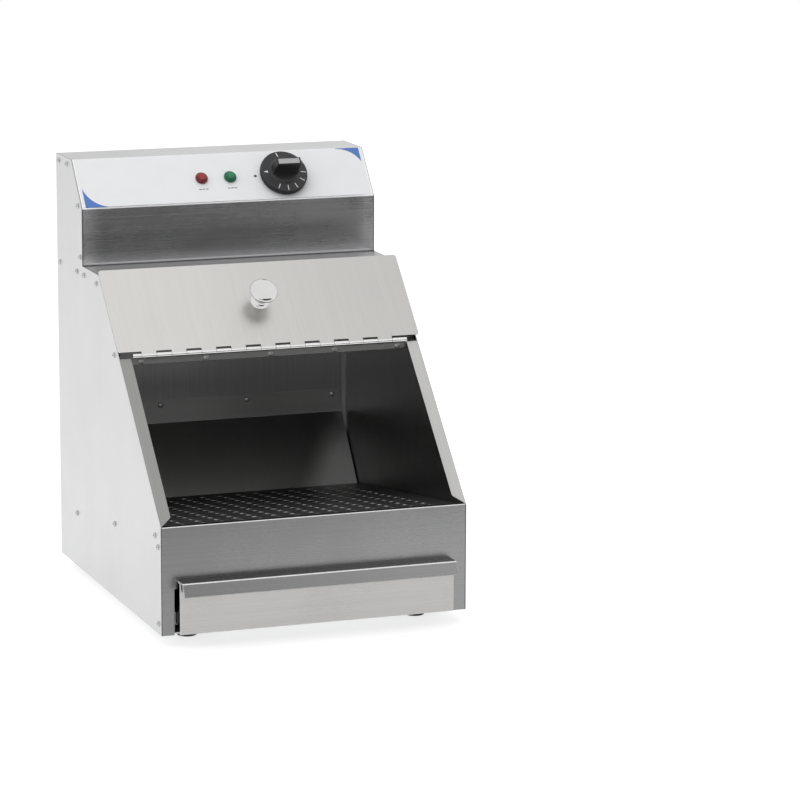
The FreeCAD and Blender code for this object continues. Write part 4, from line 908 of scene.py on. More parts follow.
def screw_head(radius: float = 3.1, height: float = 1.7) -> BMesh:
    """Pan head with a sunk cross, seated on its own XY plane.

    Args:
        radius: Head radius in millimetres.
        height: Head height in millimetres.

    Returns:
        The mesh, in metres.
    """
    mesh = bmesh.new()
    bmesh.ops.create_grid(mesh, x_segments=6, y_segments=6, size=radius * 0.5 * MM)
    bmesh.ops.translate(mesh, vec=(0, 0, height * MM), verts=mesh.verts[:])
    cell = radius * MM / 6.0
    cross = [face for face in mesh.faces
             if min(abs(part) for part in face.calc_center_median()[:2]) < cell
             and max(abs(part) for part in face.calc_center_median()[:2]) < 2 * cell]
    sunk = bmesh.ops.extrude_face_region(mesh, geom=cross)
    lowered = [part for part in sunk["geom"] if isinstance(part, bmesh.types.BMVert)]
    bmesh.ops.delete(mesh, geom=cross, context="FACES")
    bmesh.ops.translate(mesh, vec=(0, 0, -0.55 * height * MM), verts=lowered)
    rim = [edge for edge in mesh.edges if len(edge.link_faces) == 1]
    for share, level in ((0.8, 0.9), (0.95, 0.62), (1.0, 0.3), (1.0, 0.0)):
        grown = bmesh.ops.extrude_edge_only(mesh, edges=rim)["geom"]
        rim = [part for part in grown if isinstance(part, Edge)]
        for vert in {corner for edge in rim for corner in edge.verts}:
            flat = Vector((vert.co.x, vert.co.y, 0)).normalized() * radius * share * MM
            vert.co = (flat.x, flat.y, height * level * MM)
    bmesh.ops.contextual_create(mesh, geom=rim)
    bmesh.ops.recalc_face_normals(mesh, faces=mesh.faces[:])
    return mesh


def rivet_head(radius: float = 3.2, height: float = 1.3) -> BMesh:
    """Domed rivet head with its drawn stem in the middle, seated on its own XY plane.

    Args:
        radius: Head radius in millimetres.
        height: Head height in millimetres.

    Returns:
        The mesh, in metres.
    """
    shape = ((0, 0), (1, 0), (1, 0.12), (0.88, 0.5), (0.62, 0.85), (0.36, 1), (0.32, 0.8), (0.14, 0.8),
             (0.1, 0.92), (0, 0.92))
    return turned([(radius * out, height * up) for out, up in shape], 20)


class Workshop:
    """Makes finished objects out of meshes and hands them to the frame."""

    def __init__(self, finish: Finish) -> None:
        """Keep the finishes.

        Args:
            finish: The materials.
        """
        self.finish = finish
        self.count = 0

    def piece(self, name: str, mesh: BMesh, body: str, slot: str, materials: Iterable[Material],
              stands_for: Sequence[str] = (), sharp: float = 35.0) -> Object:
        """Turn a mesh into a piece of the chip warmer.

        Args:
            name: The piece's name.
            mesh: Its mesh in the shared frame, which is freed.
            body: The body it moves with.
            slot: The record's material slot; not used.
            materials: Its materials, in slot order.
            stands_for: CAD nodes that it replaces.
            sharp: Edges that turn by more stay crisp, in degrees.

        Returns:
            The new object.
        """
        limit = math.radians(sharp)
        for edge in mesh.edges:
            edge.smooth = edge.calc_face_angle(0.0) < limit if len(edge.link_faces) == 2 else False
        for face in mesh.faces:
            face.smooth = True
        made = object_of(name, mesh, materials)
        weighted = made.modifiers.new("even_faces", "WEIGHTED_NORMAL")
        weighted.keep_sharp = True
        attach(made, body)
        if stands_for:
            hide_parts(*stands_for)
        self.count += 1
        log.info("%s: %d faces on %s", name, len(made.data.polygons), body)
        return made

    def finished(
        self, node: str, mesh: BMesh, materials: Iterable[Material], body: str = "cabinet"
    ) -> Object:
        """Hand over the piece that stands for one CAD node."""
        return self.piece(node + "_finished", mesh, body, slot_of(node), materials, [node])

    def heads(
        self, name: str, head: Callable[[], BMesh], spots: Iterable[Matrix], slot: str,
        material: Material, node: str
    ) -> None:
        """Set the same head at several places of the cabinet, as one piece.

        Args:
            name: The piece's name.
            head: Makes one head.
            spots: Where the heads go.
            slot: The record's material slot.
            material: The finish.
            node: The CAD node that it replaces.
        """
        mesh = bmesh.new()
        for spot in spots:
            join(mesh, head(), spot)
        self.piece(name, mesh, "cabinet", slot, [material], [node])

    def refine(
        self, node: str, material: Material, edge: float = 0.18, body: str = "cabinet"
    ) -> Object:
        """Replace a CAD node with its refined copy in a finish.

        Args:
            node: The CAD node.
            material: The finish.
            edge: Width of the eased edges in millimetres.
            body: The body it moves with.

        Returns:
            The new object.
        """
        return self.finished(node, refined_copy(node, edge), [material], body)

    def folded(self, node: str, material: Material, bend: Material, edge: float = 0.18,
               body: str = "cabinet", share: float = 0.008) -> Object:
        """Replace a folded sheet by its refined copy, with bends in their own finish.

        Args:
            node: The CAD node.
            material: The finish of its flat faces.
            bend: The finish of its bends and cut edges, which the callers give as a pale copy of the
                steel that looks lit, a painted highlight.
            edge: Width of the eased edges in millimetres.
            body: The body that it belongs to.
            share: Directions that less than this part of the area faces count as bends.

        Returns:
            The new piece.
        """
        mesh = refined_copy(node, edge)
        for face in fold_faces(mesh, share):
            face.material_index = 1
        return self.finished(node, mesh, [material, bend], body)

    def dress(self, material: Material, *nodes: str) -> None:
        """Give CAD nodes that stay a finish.

        Args:
            material: The finish.
            *nodes: The CAD nodes.
        """
        for node in nodes:
            frame["nodes"][node].material_slots[0].link = "OBJECT"
            frame["nodes"][node].material_slots[0].material = material
            log.info("%s dressed", node)


def slot_of(node: str) -> str:
    """The record's material slot of a CAD node."""
    return next(part["material_slot"] for part in frame["record"]["subparts"] if part["node"] == node)


# Sub-assemblies


@dataclass
class Assembly:
    """What every sub-assembly has: the workshop that makes its pieces."""

    shop: Workshop

    @property
    def finish(self) -> Finish:
        """The materials."""
        return self.shop.finish


@dataclass
class CabinetShell(Assembly):
    """Folded panels of the cabinet."""

    edge: float = 0.22
    bend: float = 1.15
    inner_x: float = 171.3
    # Height of the painted highlight strip along the control cover's foot
    hem: float = 3.0

    def build(self) -> None:
        """Refine and dress the panels."""
        finish = self.finish
        self.shop.refine("roof_shelf", finish.shelf, self.edge)
        self.shop.refine("hinge_rail", finish.leaf, self.edge)
        self.shop.folded("rear_panel", finish.wall, finish.lit_bend, self.edge, share=0.05)
        self.shop.folded("rear_chute", finish.chute, finish.lit_bend, self.edge)
        self.side("left_side_panel")
        self.side("right_side_panel")
        self.bent("front_panel", [finish.front, finish.bend], lambda face: 0)
        self.bent("control_cover", [finish.cover, finish.bend, finish.roof],
                  lambda face: 2 if face.normal.z > ALONG else 0, self.hem)
        self.shop.dress(
            finish.zinc, "base_plate", "left_drawer_runner", "right_drawer_runner", "foot_fasteners"
        )
        self.shop.dress(finish.inner, "left_deck_runner", "right_deck_runner")

    def side(self, node: str) -> None:
        """Refine a side panel, with its folded mouth flange, its inside face and its cut edges in
        darker copies of the steel as painted shade.

        Args:
            node: The CAD node.
        """
        finish = self.finish
        mesh = refined_copy(node, self.edge)
        for face in mesh.faces:
            flange = face.normal.dot(MOUTH.out) > ALONG
            middle = face.calc_center_median()
            inside = middle.x * face.normal.x < 0 and abs(face.normal.x) > 0.9
            edge = abs(face.normal.x) < 0.4 and abs(middle.x) > self.inner_x * MM
            # Painted shade: the flange, the inside face and the cut edges take darker copies of the
            # side steel
            face.material_index = 1 if flange else 2 if inside else 3 if edge else 0
        materials = [finish.side, finish.flange, finish.inner, finish.painted_shade_cut_edge]
        self.shop.finished(node, mesh, materials)

    def bent(
        self, node: str, materials: Sequence[Material], choose: Callable[[Face], int],
        hem: float = 0.0
    ) -> None:
        """Refine a folded sheet whose ends turn back over rounded bends.

        Args:
            node: The CAD node.
            materials: Its finishes.
            choose: Gives a face's place in the finishes.
            hem: Height in millimetres of a painted highlight strip along its foot.
        """
        mesh = refined_copy(node, 0.0)
        foot = min(vert.co.z for vert in mesh.verts) + hem * MM
        if hem:
            parts = mesh.verts[:] + mesh.edges[:] + mesh.faces[:]
            bmesh.ops.bisect_plane(
                mesh, geom=parts, plane_co=(0.0, 0.0, foot), plane_no=(0.0, 0.0, 1.0)
            )
        ends = [edge for edge in mesh.edges
                if len(edge.link_faces) == 2 and edge.calc_face_angle(0.0) > 1.2
                and all(abs(abs(vert.co.x) - self.inner_x * MM) < 1e-5 for vert in edge.verts)
                and all(face.normal.y < 0.2 for face in edge.link_faces)]
        rounded(mesh, ends, self.bend, 4)
        ease(mesh, self.edge)
        folds = fold_faces(mesh)
        # Painted highlight: bends, cut edges and the strip along the foot take the second finish, a
        # pale copy of the steel that looks lit; on the control cover, choose gives the top faces a
        # darker copy as painted shade
        for face in mesh.faces:
            strip = face.normal.y < -0.9 and face.calc_center_median().z < foot
            face.material_index = 1 if face in folds or strip else choose(face)
        self.shop.finished(node, mesh, materials)


@dataclass
class Fasteners(Assembly):
    """Screws and rivets that show on the outside and in the bay."""

    side_screws: tuple[tuple[float, float], ...] = (
        (389.0, 458.0), (389.0, 341.8), (355.0, 458.0), (302.5, 360.0), (238.5, 340.3), (288.5, 341.8),
        (317.5, 341.8), (10.5, 94.5), (10.5, 11.0), (21.0, 104.96), (175.0, 83.56), (329.0, 62.15),
        (170.33, 272.35), (310.0, 416.5))
    rear_screws: tuple[float, ...] = (-110.0, 0.0, 110.0)
    rear_screw_height: float = 9.4
    chute_rivets: tuple[float, ...] = (-158.0, -52.67, 52.67, 158.0)
    chute_rivet_height: float = 166.0
    chute_face: float = 397.6
    shank: Profile = ((0, 0), (1.75, 0), (1.75, 6.2), (1.1, 7.0), (0, 7.0))

    def build(self) -> None:
        """Make the heads; shanks stay hidden in their sheets."""
        sides = bmesh.new()
        for index, (y, z) in enumerate(self.side_screws):
            turn = Matrix.Rotation(0.7 * index, 4, "Z")
            for face in (LEFT_SIDE.matrix(-y, z), RIGHT_SIDE.matrix(y, z)):
                join(sides, screw_head(), face @ turn)
                join(sides, turned(self.shank, 14), face @ Matrix.Rotation(math.pi, 4, "X"))
        self.shop.piece(
            "side_screw_heads", sides, "cabinet", "fastener", [self.finish.fastener], ["side_screws"]
        )
        rear = [REAR.matrix(-x, self.rear_screw_height) @ Matrix.Rotation(x, 4, "Z")
                for x in self.rear_screws]
        self.shop.heads(
            "rear_screw_heads", screw_head, rear, "fastener", self.finish.fastener, "rear_panel_screws"
        )
        facing = Plane(place(0, self.chute_face, self.chute_rivet_height), RIGHT, UP)
        chute = [facing.matrix(x) for x in self.chute_rivets]
        self.shop.heads(
            "chute_rivet_heads", rivet_head, chute, "rivet", self.finish.rivet, "chute_rivets"
        )
        self.shop.dress(self.finish.rivet, "base_rivets")


@dataclass
class FillingHatch(Assembly):
    """Hatch with its rolled hinge knuckles, rests and knob."""

    corner: float = 3.0
    half_width: float = 173.5
    hinge_axis: tuple[float, float] = (149.131, 273.652)
    knuckle: float = 3.05
    corner_reach: float = 120.0
    knob_down: float = 51.5
    face: float = 6.0
    turning: Profile = (
        (0, 0), (10.5, 0), (10.8, 0.3), (10.8, 1.3), (10.4, 1.8), (8.6, 2.5), (7.0, 3.7), (6.1, 5.4),
        (5.6, 7.6), (5.5, 10.0), (5.5, 12.6), (5.9, 14.4), (7.2, 15.7), (9.4, 16.7), (12.0, 17.6),
        (14.3, 18.7), (15.5, 19.8), (15.8, 20.8), (15.5, 22.0), (14.4, 23.5), (12.4, 24.9), (9.4, 26.1),
        (5.4, 26.8), (0, 27.0))

    def build(self) -> None:
        """Make the hatch and its knob."""
        mesh = refined_copy("hatch_door", 0.0)
        lift = MOUTH.out
        low = MOUTH.origin.dot(MOUTH.up)
        corners = [edge for edge in mesh.edges
                   if abs((edge.verts[1].co - edge.verts[0].co).normalized().dot(lift)) > ALONG
                   and abs(abs(edge.verts[0].co.x) - self.half_width * MM) < 1e-4
                   and edge.verts[0].co.dot(MOUTH.up) > low - self.corner_reach * MM]
        rounded(mesh, corners, self.corner, 5)
        ease(mesh, 0.2)
        axis = place(0, *self.hinge_axis)
        # Painted highlight: faces round the hinge axis, the knuckles, take the bright hinge copy of the
        # steel
        for face in mesh.faces:
            reach = (face.calc_center_median() - axis).yz.length
            face.material_index = 1 if reach < self.knuckle * MM else 0
        self.shop.piece(
            "hatch_sheet", mesh, "hatch", "steel", [self.finish.hatch, self.finish.hinge],
            ["hatch_door"]
        )
        self.knob()
        self.shop.refine("hatch_buffers", self.finish.rubber, 0.3)
        self.shop.refine("knob_screw", self.finish.zinc, 0.25, "hatch")

    def knob(self) -> None:
        """Make the turned mushroom knob."""
        mesh = moved(turned(self.turning, 64), MOUTH.matrix(0, -self.knob_down, self.face))
        self.shop.piece(
            "knob_turned", mesh, "hatch", "knob", [self.finish.polished], ["hatch_knob"], 60.0
        )


@dataclass
class PianoHinge(Assembly):
    """Fixed leaf with its knuckles, pin and rivets."""

    rivets: int = 5
    rivet_spread: float = 296.0
    rivet_height: float = 267.452
    face: float = 150.831
    strip_top: float = 283.4

    def build(self) -> None:
        """Make the fixed half of the hinge."""
        leaf = refined_copy("hinge_leaf", 0.15)
        for face in leaf.faces:
            # Painted shade: the leaf's forward-facing strip takes the dark leaf copy of the steel; the
            # rest takes the bright hinge copy as painted highlight
            strip = face.normal.y < -ALONG and face.calc_center_median().z < self.strip_top * MM
            face.material_index = 1 if strip else 0
        self.shop.finished("hinge_leaf", leaf, [self.finish.hinge, self.finish.leaf])
        self.shop.refine("hinge_pin", self.finish.fastener, 0.25)
        facing = Plane(place(0, self.face, self.rivet_height), RIGHT, UP)
        spots = [facing.matrix((step / (self.rivets - 1) - 0.5) * self.rivet_spread)
                 for step in range(self.rivets)]
        self.shop.heads(
            "hinge_rivet_heads", rivet_head, spots, "rivet", self.finish.painted_shade_rivet, "hinge_rivets"
        )


@dataclass
class ServingDeck(Assembly):
    """Perforated deck with pressed rims round its holes."""

    pitch_across: float = 21.5
    pitch_down: float = 21.4
    front_margin: float = 20.0
    columns: int = 14
    rows: int = 14
    rim: Profile = (
        (2.98, -0.9), (3.0, 0.22), (3.25, 0.42), (3.6, 0.34), (4.1, 0.01)
    )
    rim_steps: int = 14

    def build(self) -> None:
        """Make the deck's sheet and rims."""
        self.shop.refine("perforated_deck", self.finish.deck, 0.0)
        rims = bmesh.new()
        slope = math.hypot(1.0, DECK_FALL)
        for column in range(self.columns):
            for row in range(self.rows):
                across = (column - (self.columns - 1) / 2) * self.pitch_across
                along = (self.front_margin + row * self.pitch_down) * slope
                join(rims, self.one_rim(), DECK.matrix(across, along))
        self.shop.piece("deck_hole_rims", rims, "cabinet", "deck", [self.finish.rims], (), 80.0)

    def one_rim(self) -> BMesh:
        """Press up a ring round one hole.

        Returns:
            The open ring, facing up.
        """
        mesh = turned(self.rim, self.rim_steps)
        top = max(mesh.faces, key=lambda face: face.calc_center_median().z)
        if top.normal.z < 0:
            bmesh.ops.reverse_faces(mesh, faces=mesh.faces[:])
        return mesh


@dataclass
class CrumbDrawer(Assembly):
    """Drawer front, its finger lip and the pan."""

    def build(self) -> None:
        """Refine the drawer's sheets."""
        finish = self.finish
        self.shop.folded("drawer_front", finish.drawer, finish.bend, 0.5, "drawer")
        self.shop.folded("drawer_handle", finish.lip, finish.bend, 0.2, "drawer")
        self.shop.refine("drawer_pan", finish.inner, 0.2, "drawer")


@dataclass
class Feet(Assembly):
    """Rubber feet with a stepped tread."""

    inset_x: float = 42.0
    inset_y: float = 46.0
    tread: Profile = (
        (5.0, 0.4), (5.4, 0), (9.6, 0), (10.3, 0.3), (10.9, 1.2), (11.1, 3.0), (10.8, 3.4), (10.8, 4.4),
        (11.2, 4.8), (11.5, 6.0), (11.5, 12.6), (11.1, 14.2), (0, 14.2), (0, 6.0), (4.6, 6.0),
        (5.0, 5.6), (5.0, 0.4))

    def build(self) -> None:
        """Make the four feet."""
        places = {
            "front_left": (-1, self.inset_y), "front_right": (1, self.inset_y),
            "rear_left": (-1, DEPTH - self.inset_y), "rear_right": (1, DEPTH - self.inset_y)}
        for name, (side, y) in places.items():
            spot = place(side * (HALF_WIDTH - self.inset_x), y, -FOOT_HEIGHT)
            mesh = moved(turned(self.tread, 40), Matrix.Translation(spot))
            self.shop.piece(
                "tread_" + name, mesh, "cabinet", "rubber", [self.finish.rubber], ["foot_" + name], 40.0
            )


@dataclass
class ControlPanel(Assembly):
    """Printed film, pilot lamps and index dot."""

    red_x: float = -27.0
    green_x: float = 6.7
    dot_x: float = 36.8
    dot: Profile = ((0, 0), (1.6, 0), (1.6, 0.2), (1.4, 0.3), (0, 0.3))
    dash: Triple = (3.0, 0.9, 0.06)
    dash_pitch: float = 4.0
    dash_drop: float = 14.2
    lens: Profile = (
        (0, 0), (7.0, 0), (7.2, 0.25), (7.2, 1.5), (6.9, 2.0), (6.3, 2.2), (5.7, 2.25), (5.45, 2.5),
        (5.4, 3.2), (5.25, 4.1), (4.8, 4.7), (4.0, 5.05), (3.3, 5.1), (3.0, 4.8), (2.6, 4.8),
        (2.3, 5.15), (1.2, 5.2), (0, 5.2))

    def build(self) -> None:
        """Make what shows on the sloping panel."""
        self.shop.refine("control_fascia", self.finish.film, 0.12)
        self.lamp("red", self.red_x, (0.42, 0.025, 0.03), (0.16, 0.012, 0.016))
        self.lamp("green", self.green_x, (0.01, 0.27, 0.11), (0.004, 0.11, 0.05))
        spot = PANEL.matrix(self.dot_x, CONTROL_ROW, FASCIA)
        dot = moved(turned(self.dot, 24), spot)
        self.shop.piece("index_mark", dot, "cabinet", "mark", [self.finish.grey_print], ["index_dot"])
        self.shop.dress(self.finish.black, "red_lamp_body", "green_lamp_body")
        self.captions()

    def captions(self) -> None:
        """Lay a row of short printed dashes under each lamp."""
        marks = bmesh.new()
        for x in (self.red_x, self.green_x):
            for step in (-1, 0, 1):
                dash = block(self.dash, (step * self.dash_pitch, 0, self.dash[2] / 2))
                join(marks, dash, PANEL.matrix(x, CONTROL_ROW - self.dash_drop, FASCIA))
        self.shop.piece("lamp_dashes", marks, "cabinet", "mark", [self.finish.grey_print])

    def lamp(self, name: str, x: float, tone: Colour, deep: Colour) -> None:
        """Make one pilot lamp's lens.

        Args:
            name: The lamp's colour word.
            x: Its place along the row in millimetres.
            tone: The lens's lit colour.
            deep: The lens's colour towards its rim.
        """
        spot = PANEL.matrix(x, CONTROL_ROW, FASCIA)
        mesh = moved(turned(self.lens), spot)
        material = LampLens(name + "_lens_glass", tone, deep, spot.translation).material()
        self.shop.piece(
            name + "_lens", mesh, "cabinet", name + "_lens", [material], [name + "_lamp_lens"], 50.0
        )


@dataclass
class ThermostatDial(Assembly):
    """Black dial with a notched skirt, radial marks and a grip with a silver strip."""

    x: float = 69.5
    lift: float = 1.1
    turning: Profile = (
        (0, 0), (26.6, 0), (27.3, 0.7), (27.4, 1.6), (27.4, 5.6), (27.2, 6.4), (26.4, 7.1), (25.8, 7.3),
        (18.6, 8.0), (17.4, 8.4), (16.6, 9.2), (15.4, 10.0), (14.0, 10.3), (0, 10.4))
    notches: int = 96
    notch_from: float = 27.0
    notch_share: float = 0.975
    grip: Triple = (31.0, 11.0, 28.5)
    foot: float = 7.4
    top_taper: tuple[float, float] = (0.935, 0.86)
    waist: float = 0.28
    flare: float = 0.12
    cap_rim: float = 0.7
    cap_sink: float = 0.5
    strip: Triple = (25.0, 6.5, 1.2)
    strip_drop: float = 0.2
    mark_hours: tuple[float, ...] = (11.6, 3.2, 4.1, 5.1, 6.0, 6.9)
    mark_seat: tuple[float, float] = (22.2, 7.68)
    mark_fall: float = 5.5
    tick: Triple = (0.95, 6.2, 0.24)
    wedge: Triple = (2.8, 4.6, 0.24)
    wedge_tip: float = 0.12

    def build(self) -> None:
        """Make the dial, its strip and its marks."""
        spot = PANEL.matrix(self.x, CONTROL_ROW, self.lift)
        body = self.skirt()
        join(body, self.grip_bar())
        self.shop.piece(
            "dial_moulding", moved(body, spot), "dial", "dial", [self.finish.black], ["dial"], 40.0
        )
        strip = block(self.strip, (0, 0, self.grip[2] - self.strip_drop), 0.25)
        self.shop.piece(
            "dial_silver_strip", moved(strip, spot), "dial", "insert", [self.finish.strip],
            ["dial_insert"]
        )
        self.shop.piece(
            "dial_marks", moved(self.marks(), spot), "dial", "dial", [self.finish.white_print]
        )
        self.shop.dress(self.finish.zinc, "dial_spindle")

    def skirt(self) -> BMesh:
        """Turn the skirt, with fine notches round its rim, and the boss.

        Returns:
            The mesh about the dial's own axis.
        """
        mesh = turned(self.turning, 2 * self.notches)
        rim = [vert for vert in mesh.verts
               if vert.co.xy.length > self.notch_from * MM and vert.co.z > 0.2 * MM]
        for vert in rim:
            turn = math.atan2(vert.co.y, vert.co.x) * self.notches / math.tau
            if abs(turn - round(turn)) < 0.1:
                vert.co.xy = vert.co.xy * self.notch_share
        return mesh

    def grip_bar(self) -> BMesh:
        """Shape the tapered grip, with hollowed sides and a recessed top.

        Returns:
            The mesh about the dial's own axis.
        """
        length, width, height = self.grip
        mesh = block((length, width, height - self.foot), (0, 0, (height + self.foot) / 2))
        top = [vert for vert in mesh.verts if vert.co.z > 0.9 * height * MM]
        for vert in top:
            vert.co.x *= self.top_taper[0]
            vert.co.y *= self.top_taper[1]
        uprights = [edge for edge in mesh.edges
                    if abs((edge.verts[0].co - edge.verts[1].co).z) > height / 3 * MM]
        bmesh.ops.subdivide_edges(mesh, edges=uprights, cuts=3, use_grid_fill=True)
        for vert in mesh.verts:
            share = (vert.co.z / MM - self.foot) / (height - self.foot)
            hollow = self.waist * math.sin(math.pi * min(max(share, 0.0), 1.0))
            vert.co.y *= 1.0 - hollow + self.flare * (1.0 - share)
        ease(mesh, 0.9, 3, 60.0)
        bmesh.ops.inset_region(mesh, faces=self.cap(mesh), thickness=self.cap_rim * MM, depth=0.0)
        inner = [face for face in self.cap(mesh)
                 if max(abs(vert.co.x) for vert in face.verts) < 0.46 * length * MM]
        sunk = list({vert for face in inner for vert in face.verts})
        bmesh.ops.translate(mesh, vec=(0, 0, -self.cap_sink * MM), verts=sunk)
        return mesh

    def cap(self, mesh: BMesh) -> list[Face]:
        """Find the faces on top of the grip.

        Args:
            mesh: The grip.

        Returns:
            Its level faces at full height.
        """
        level = (self.grip[2] - 0.5) * MM
        return [face for face in mesh.faces
                if face.normal.z > ALONG and face.calc_center_median().z > level]

    def marks(self) -> BMesh:
        """Lay radial ticks on the skirt, and a wedge that points at the index dot.

        Returns:
            The mesh about the dial's own axis.
        """
        mesh = bmesh.new()
        fall = Matrix.Rotation(math.radians(-self.mark_fall), 4, "X")
        seat = Matrix.Translation(Vector((0, *self.mark_seat)) * MM) @ fall
        for hour in self.mark_hours:
            turn = Matrix.Rotation(-math.tau * hour / 12.0, 4, "Z")
            join(mesh, block(self.tick, (0, 0, 0)), turn @ seat)
        wedge = block(self.wedge, (0, 0, 0))
        for vert in wedge.verts:
            if vert.co.y > 0:
                vert.co.x *= self.wedge_tip
        join(mesh, wedge, Matrix.Rotation(math.tau * 0.25, 4, "Z") @ seat)
        return mesh


@dataclass
class Heater(Assembly):
    """Element, reflector, hangers and guard under the roof, and the thermostat's bulb."""

    def build(self) -> None:
        """Refine and dress the heating parts."""
        finish = self.finish
        for node, material, edge in (
                ("heating_element", finish.sheath, 0.2), ("element_guard", finish.wire_guard, 0.0),
                ("heat_reflector", finish.reflector, 0.2), ("element_brackets", finish.zinc, 0.15),
                ("element_nuts", finish.brass, 0.3), ("thermostat_bulb", finish.copper, 0.2),
                ("bulb_clips", finish.zinc, 0.15), ("capillary_grommet", finish.rubber, 0.3)):
            self.shop.refine(node, material, edge)


@dataclass
class Electrics(Assembly):
    """Thermostat, terminal block, wiring and cable gland."""

    def build(self) -> None:
        """Refine and dress the electrical parts."""
        finish = self.finish
        for node, material, edge in (
                ("thermostat_body", finish.cream, 0.3), ("terminal_block", finish.ivory, 0.3),
                ("cable_gland", finish.black, 0.4), ("gland_locknut", finish.black, 0.3),
                ("wiring_loom", finish.red_wire, 0.0)):
            self.shop.refine(node, material, edge)
        self.shop.dress(finish.fastener, "thermostat_screws", "terminal_screws")


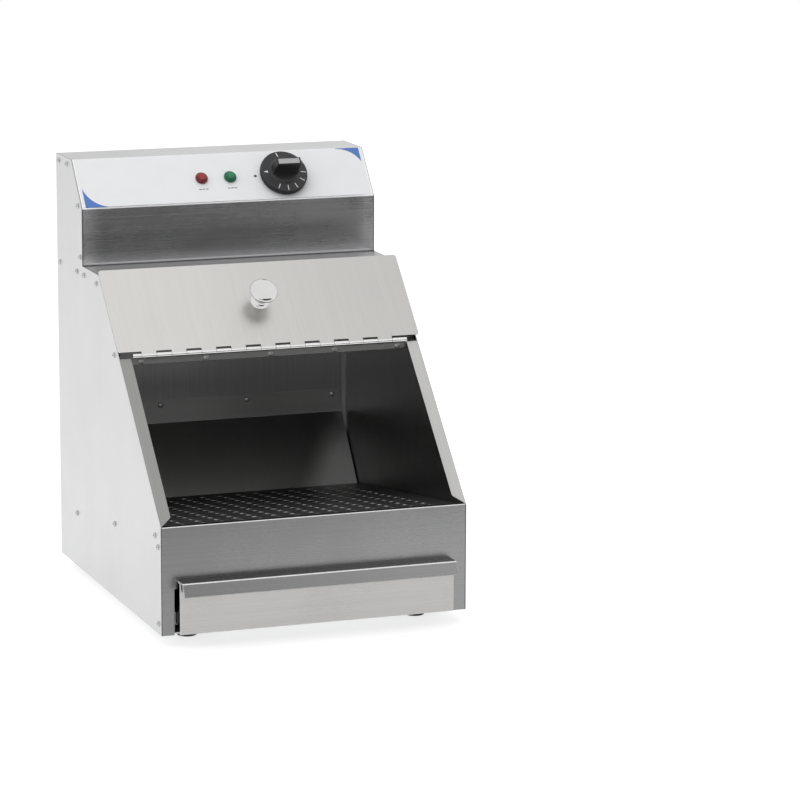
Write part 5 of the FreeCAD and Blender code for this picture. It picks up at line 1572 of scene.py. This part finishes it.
@dataclass
class Studio:
    """Floor, soft lights, surroundings and camera."""

    location: Triple = (-1.25842, -3.83668, 1.02338)
    azimuth: float = -20.407
    elevation: float = 11.262
    roll: float = 0.2198
    lens: float = 166.559
    sensor: float = 36.0
    floor_front: float = -0.92
    floor_glow: float = 0.70
    pale: Colour = (0.42, 0.42, 0.42)
    card_tone: float = 0.09
    cards: tuple[tuple[str, Triple, Triple], ...] = (
        ("front_card", (-1.2, -4.6, -0.02), (2.8, -0.935, -0.01)),
        ("rear_screen", (-0.5, -4.75, -0.02), (4.2, -4.7, 1.2)))
    lamps: tuple[tuple[str, Triple, Triple, float, float], ...] = (
        ("top_softbox", (-0.35, 0.1, 2.2), (-0.2, 0.0, 0.3), 2.2, 15.0),
        ("left_softbox", (-2.2, -0.6, 1.4), (0.0, 0.0, 0.25), 1.6, 10.0),
        ("right_strip", (0.66, -0.86, 0.36), (0.1, 0.1, 0.36), 0.26, 0.5))

    def build(self) -> None:
        """Make the floor, the lights, the world and the camera."""
        bpy.context.scene.view_settings.view_transform = "Standard"
        self.floor()
        self.world()
        for card in self.cards:
            self.dark_card(*card)
        for lamp in self.lamps:
            self.softbox(*lamp)
        self.camera()

    def floor(self) -> None:
        """Pale floor that keeps the object's soft shadow."""
        mesh = bmesh.new()
        bmesh.ops.create_grid(mesh, x_segments=1, y_segments=1, size=1.0)
        bmesh.ops.scale(mesh, vec=(4.0, 3.0, 1.0), verts=mesh.verts[:])
        bmesh.ops.translate(mesh, vec=(0.0, 3.0 + self.floor_front, 0.0), verts=mesh.verts[:])
        recipe = Recipe("pale_floor")
        grain = recipe.noise(30.0, 2.0)
        colour = recipe.blend(grain, self.pale, shade(self.pale, 0.99))
        recipe.set(Base_Color=colour, Roughness=0.9, Specular_IOR_Level=0.1)
        white = {"Color": (1, 1, 1, 1), "Strength": recipe.backdrop_rays() * self.floor_glow}
        glow = recipe.add("ShaderNodeEmission", None, white)
        both = recipe.add(
            "ShaderNodeAddShader", None, {0: recipe.shader.outputs["BSDF"], 1: glow.outputs["Emission"]}
        )
        recipe.feed(recipe.output.inputs["Surface"], both.outputs["Shader"])
        floor = object_of("studio_floor", mesh, [recipe.material])

    def dark_card(self, name: str, low: Triple, high: Triple) -> None:
        """Lay a dark card out of sight, for the fronts to mirror.

        Args:
            name: The card's name.
            low: Its lowest corner, in metres.
            high: Its highest corner, in metres.
        """
        size, middle = Vector(high) - Vector(low), (Vector(high) + Vector(low)) / 2
        mesh = block(size / MM, middle / MM)
        recipe = Recipe(name + "_felt")
        nap = recipe.noise(40.0, 2.0)
        colour = recipe.blend(nap, (self.card_tone,) * 3, (self.card_tone * 1.1,) * 3)
        recipe.set(Base_Color=colour, Roughness=0.95, Specular_IOR_Level=0.0)
        card = object_of(name, mesh, [recipe.material])
        card.visible_camera = False

    def world(self) -> None:
        """White surroundings to look at and to mirror, and a room that is lit from above and behind."""
        world = bpy.data.worlds.new("studio_room")
        bpy.context.scene.world = world
        world.use_nodes = True
        recipe = Tree(world.node_tree)
        source = recipe.add("ShaderNodeTexCoord")
        parts = recipe.add("ShaderNodeSeparateXYZ", None, {0: source.outputs["Generated"]})
        across, back, up = (Signal(recipe, parts.outputs[index]) for index in range(3))
        level = 0.24 + back.step(-0.85, 0.0) * 0.68
        level = level + up.step(0.1, 0.95) * 0.24 + across.step(0.2, -0.9) * 0.08
        eye = recipe.backdrop_rays()
        strength = level * (1.0 - eye) + eye
        shell = recipe.add("ShaderNodeBackground", None, {"Color": (1, 1, 1, 1), "Strength": strength})
        output = recipe.add("ShaderNodeOutputWorld")
        recipe.feed(output.inputs["Surface"], shell.outputs["Background"])

    def softbox(self, name: str, spot: Triple, aim: Triple, width: float, power: float) -> None:
        """Add one soft square light.

        Args:
            name: The light's name.
            spot: Where it stands, in metres.
            aim: What it faces.
            width: Its width and height in metres.
            power: Its power in watts.
        """
        data = bpy.data.lights.new(name, "AREA")
        data.shape = "RECTANGLE"
        data.size, data.size_y, data.energy = width, width, power
        light = bpy.data.objects.new(name, data)
        light.location = spot
        light.rotation_euler = (Vector(aim) - Vector(spot)).to_track_quat("-Z", "Y").to_euler()
        light.visible_glossy = False
        bpy.context.scene.collection.objects.link(light)

    def camera(self) -> None:
        """Stand the camera at the photograph's viewing angle."""
        a, e, r = (math.radians(value) for value in (self.azimuth, self.elevation, self.roll))
        back = Vector((math.sin(a) * math.cos(e), -math.cos(a) * math.cos(e), math.sin(e)))
        right = UP.cross(back).normalized()
        up = back.cross(right)
        tilted_right = right * math.cos(r) + up * math.sin(r)
        tilted_up = up * math.cos(r) - right * math.sin(r)
        data = bpy.data.cameras.new("studio_camera")
        data.lens, data.sensor_width = self.lens, self.sensor
        data.clip_start, data.clip_end = 0.05, 50.0
        camera = bpy.data.objects.new("studio_camera", data)
        turn = Matrix((tilted_right, tilted_up, back)).transposed().to_4x4()
        camera.matrix_world = Matrix.Translation(self.location) @ turn
        bpy.context.scene.collection.objects.link(camera)
        bpy.context.scene.camera = camera


def main() -> None:
    """Build the sub-assemblies in order and light them."""
    logging.basicConfig(level=logging.INFO, format="%(name)s %(message)s")
    shop = Workshop(Finish())
    kinds = (CabinetShell, Fasteners, FillingHatch, PianoHinge, ServingDeck, CrumbDrawer, Feet,
             ControlPanel, ThermostatDial, Heater, Electrics)
    for part in (*(kind(shop) for kind in kinds), Studio()):
        part.build()
        log.info("%s done", type(part).__name__)
    log.info("%d pieces", shop.count)
    bpy.context.view_layer.update()


if __name__ == "__main__":
    main()
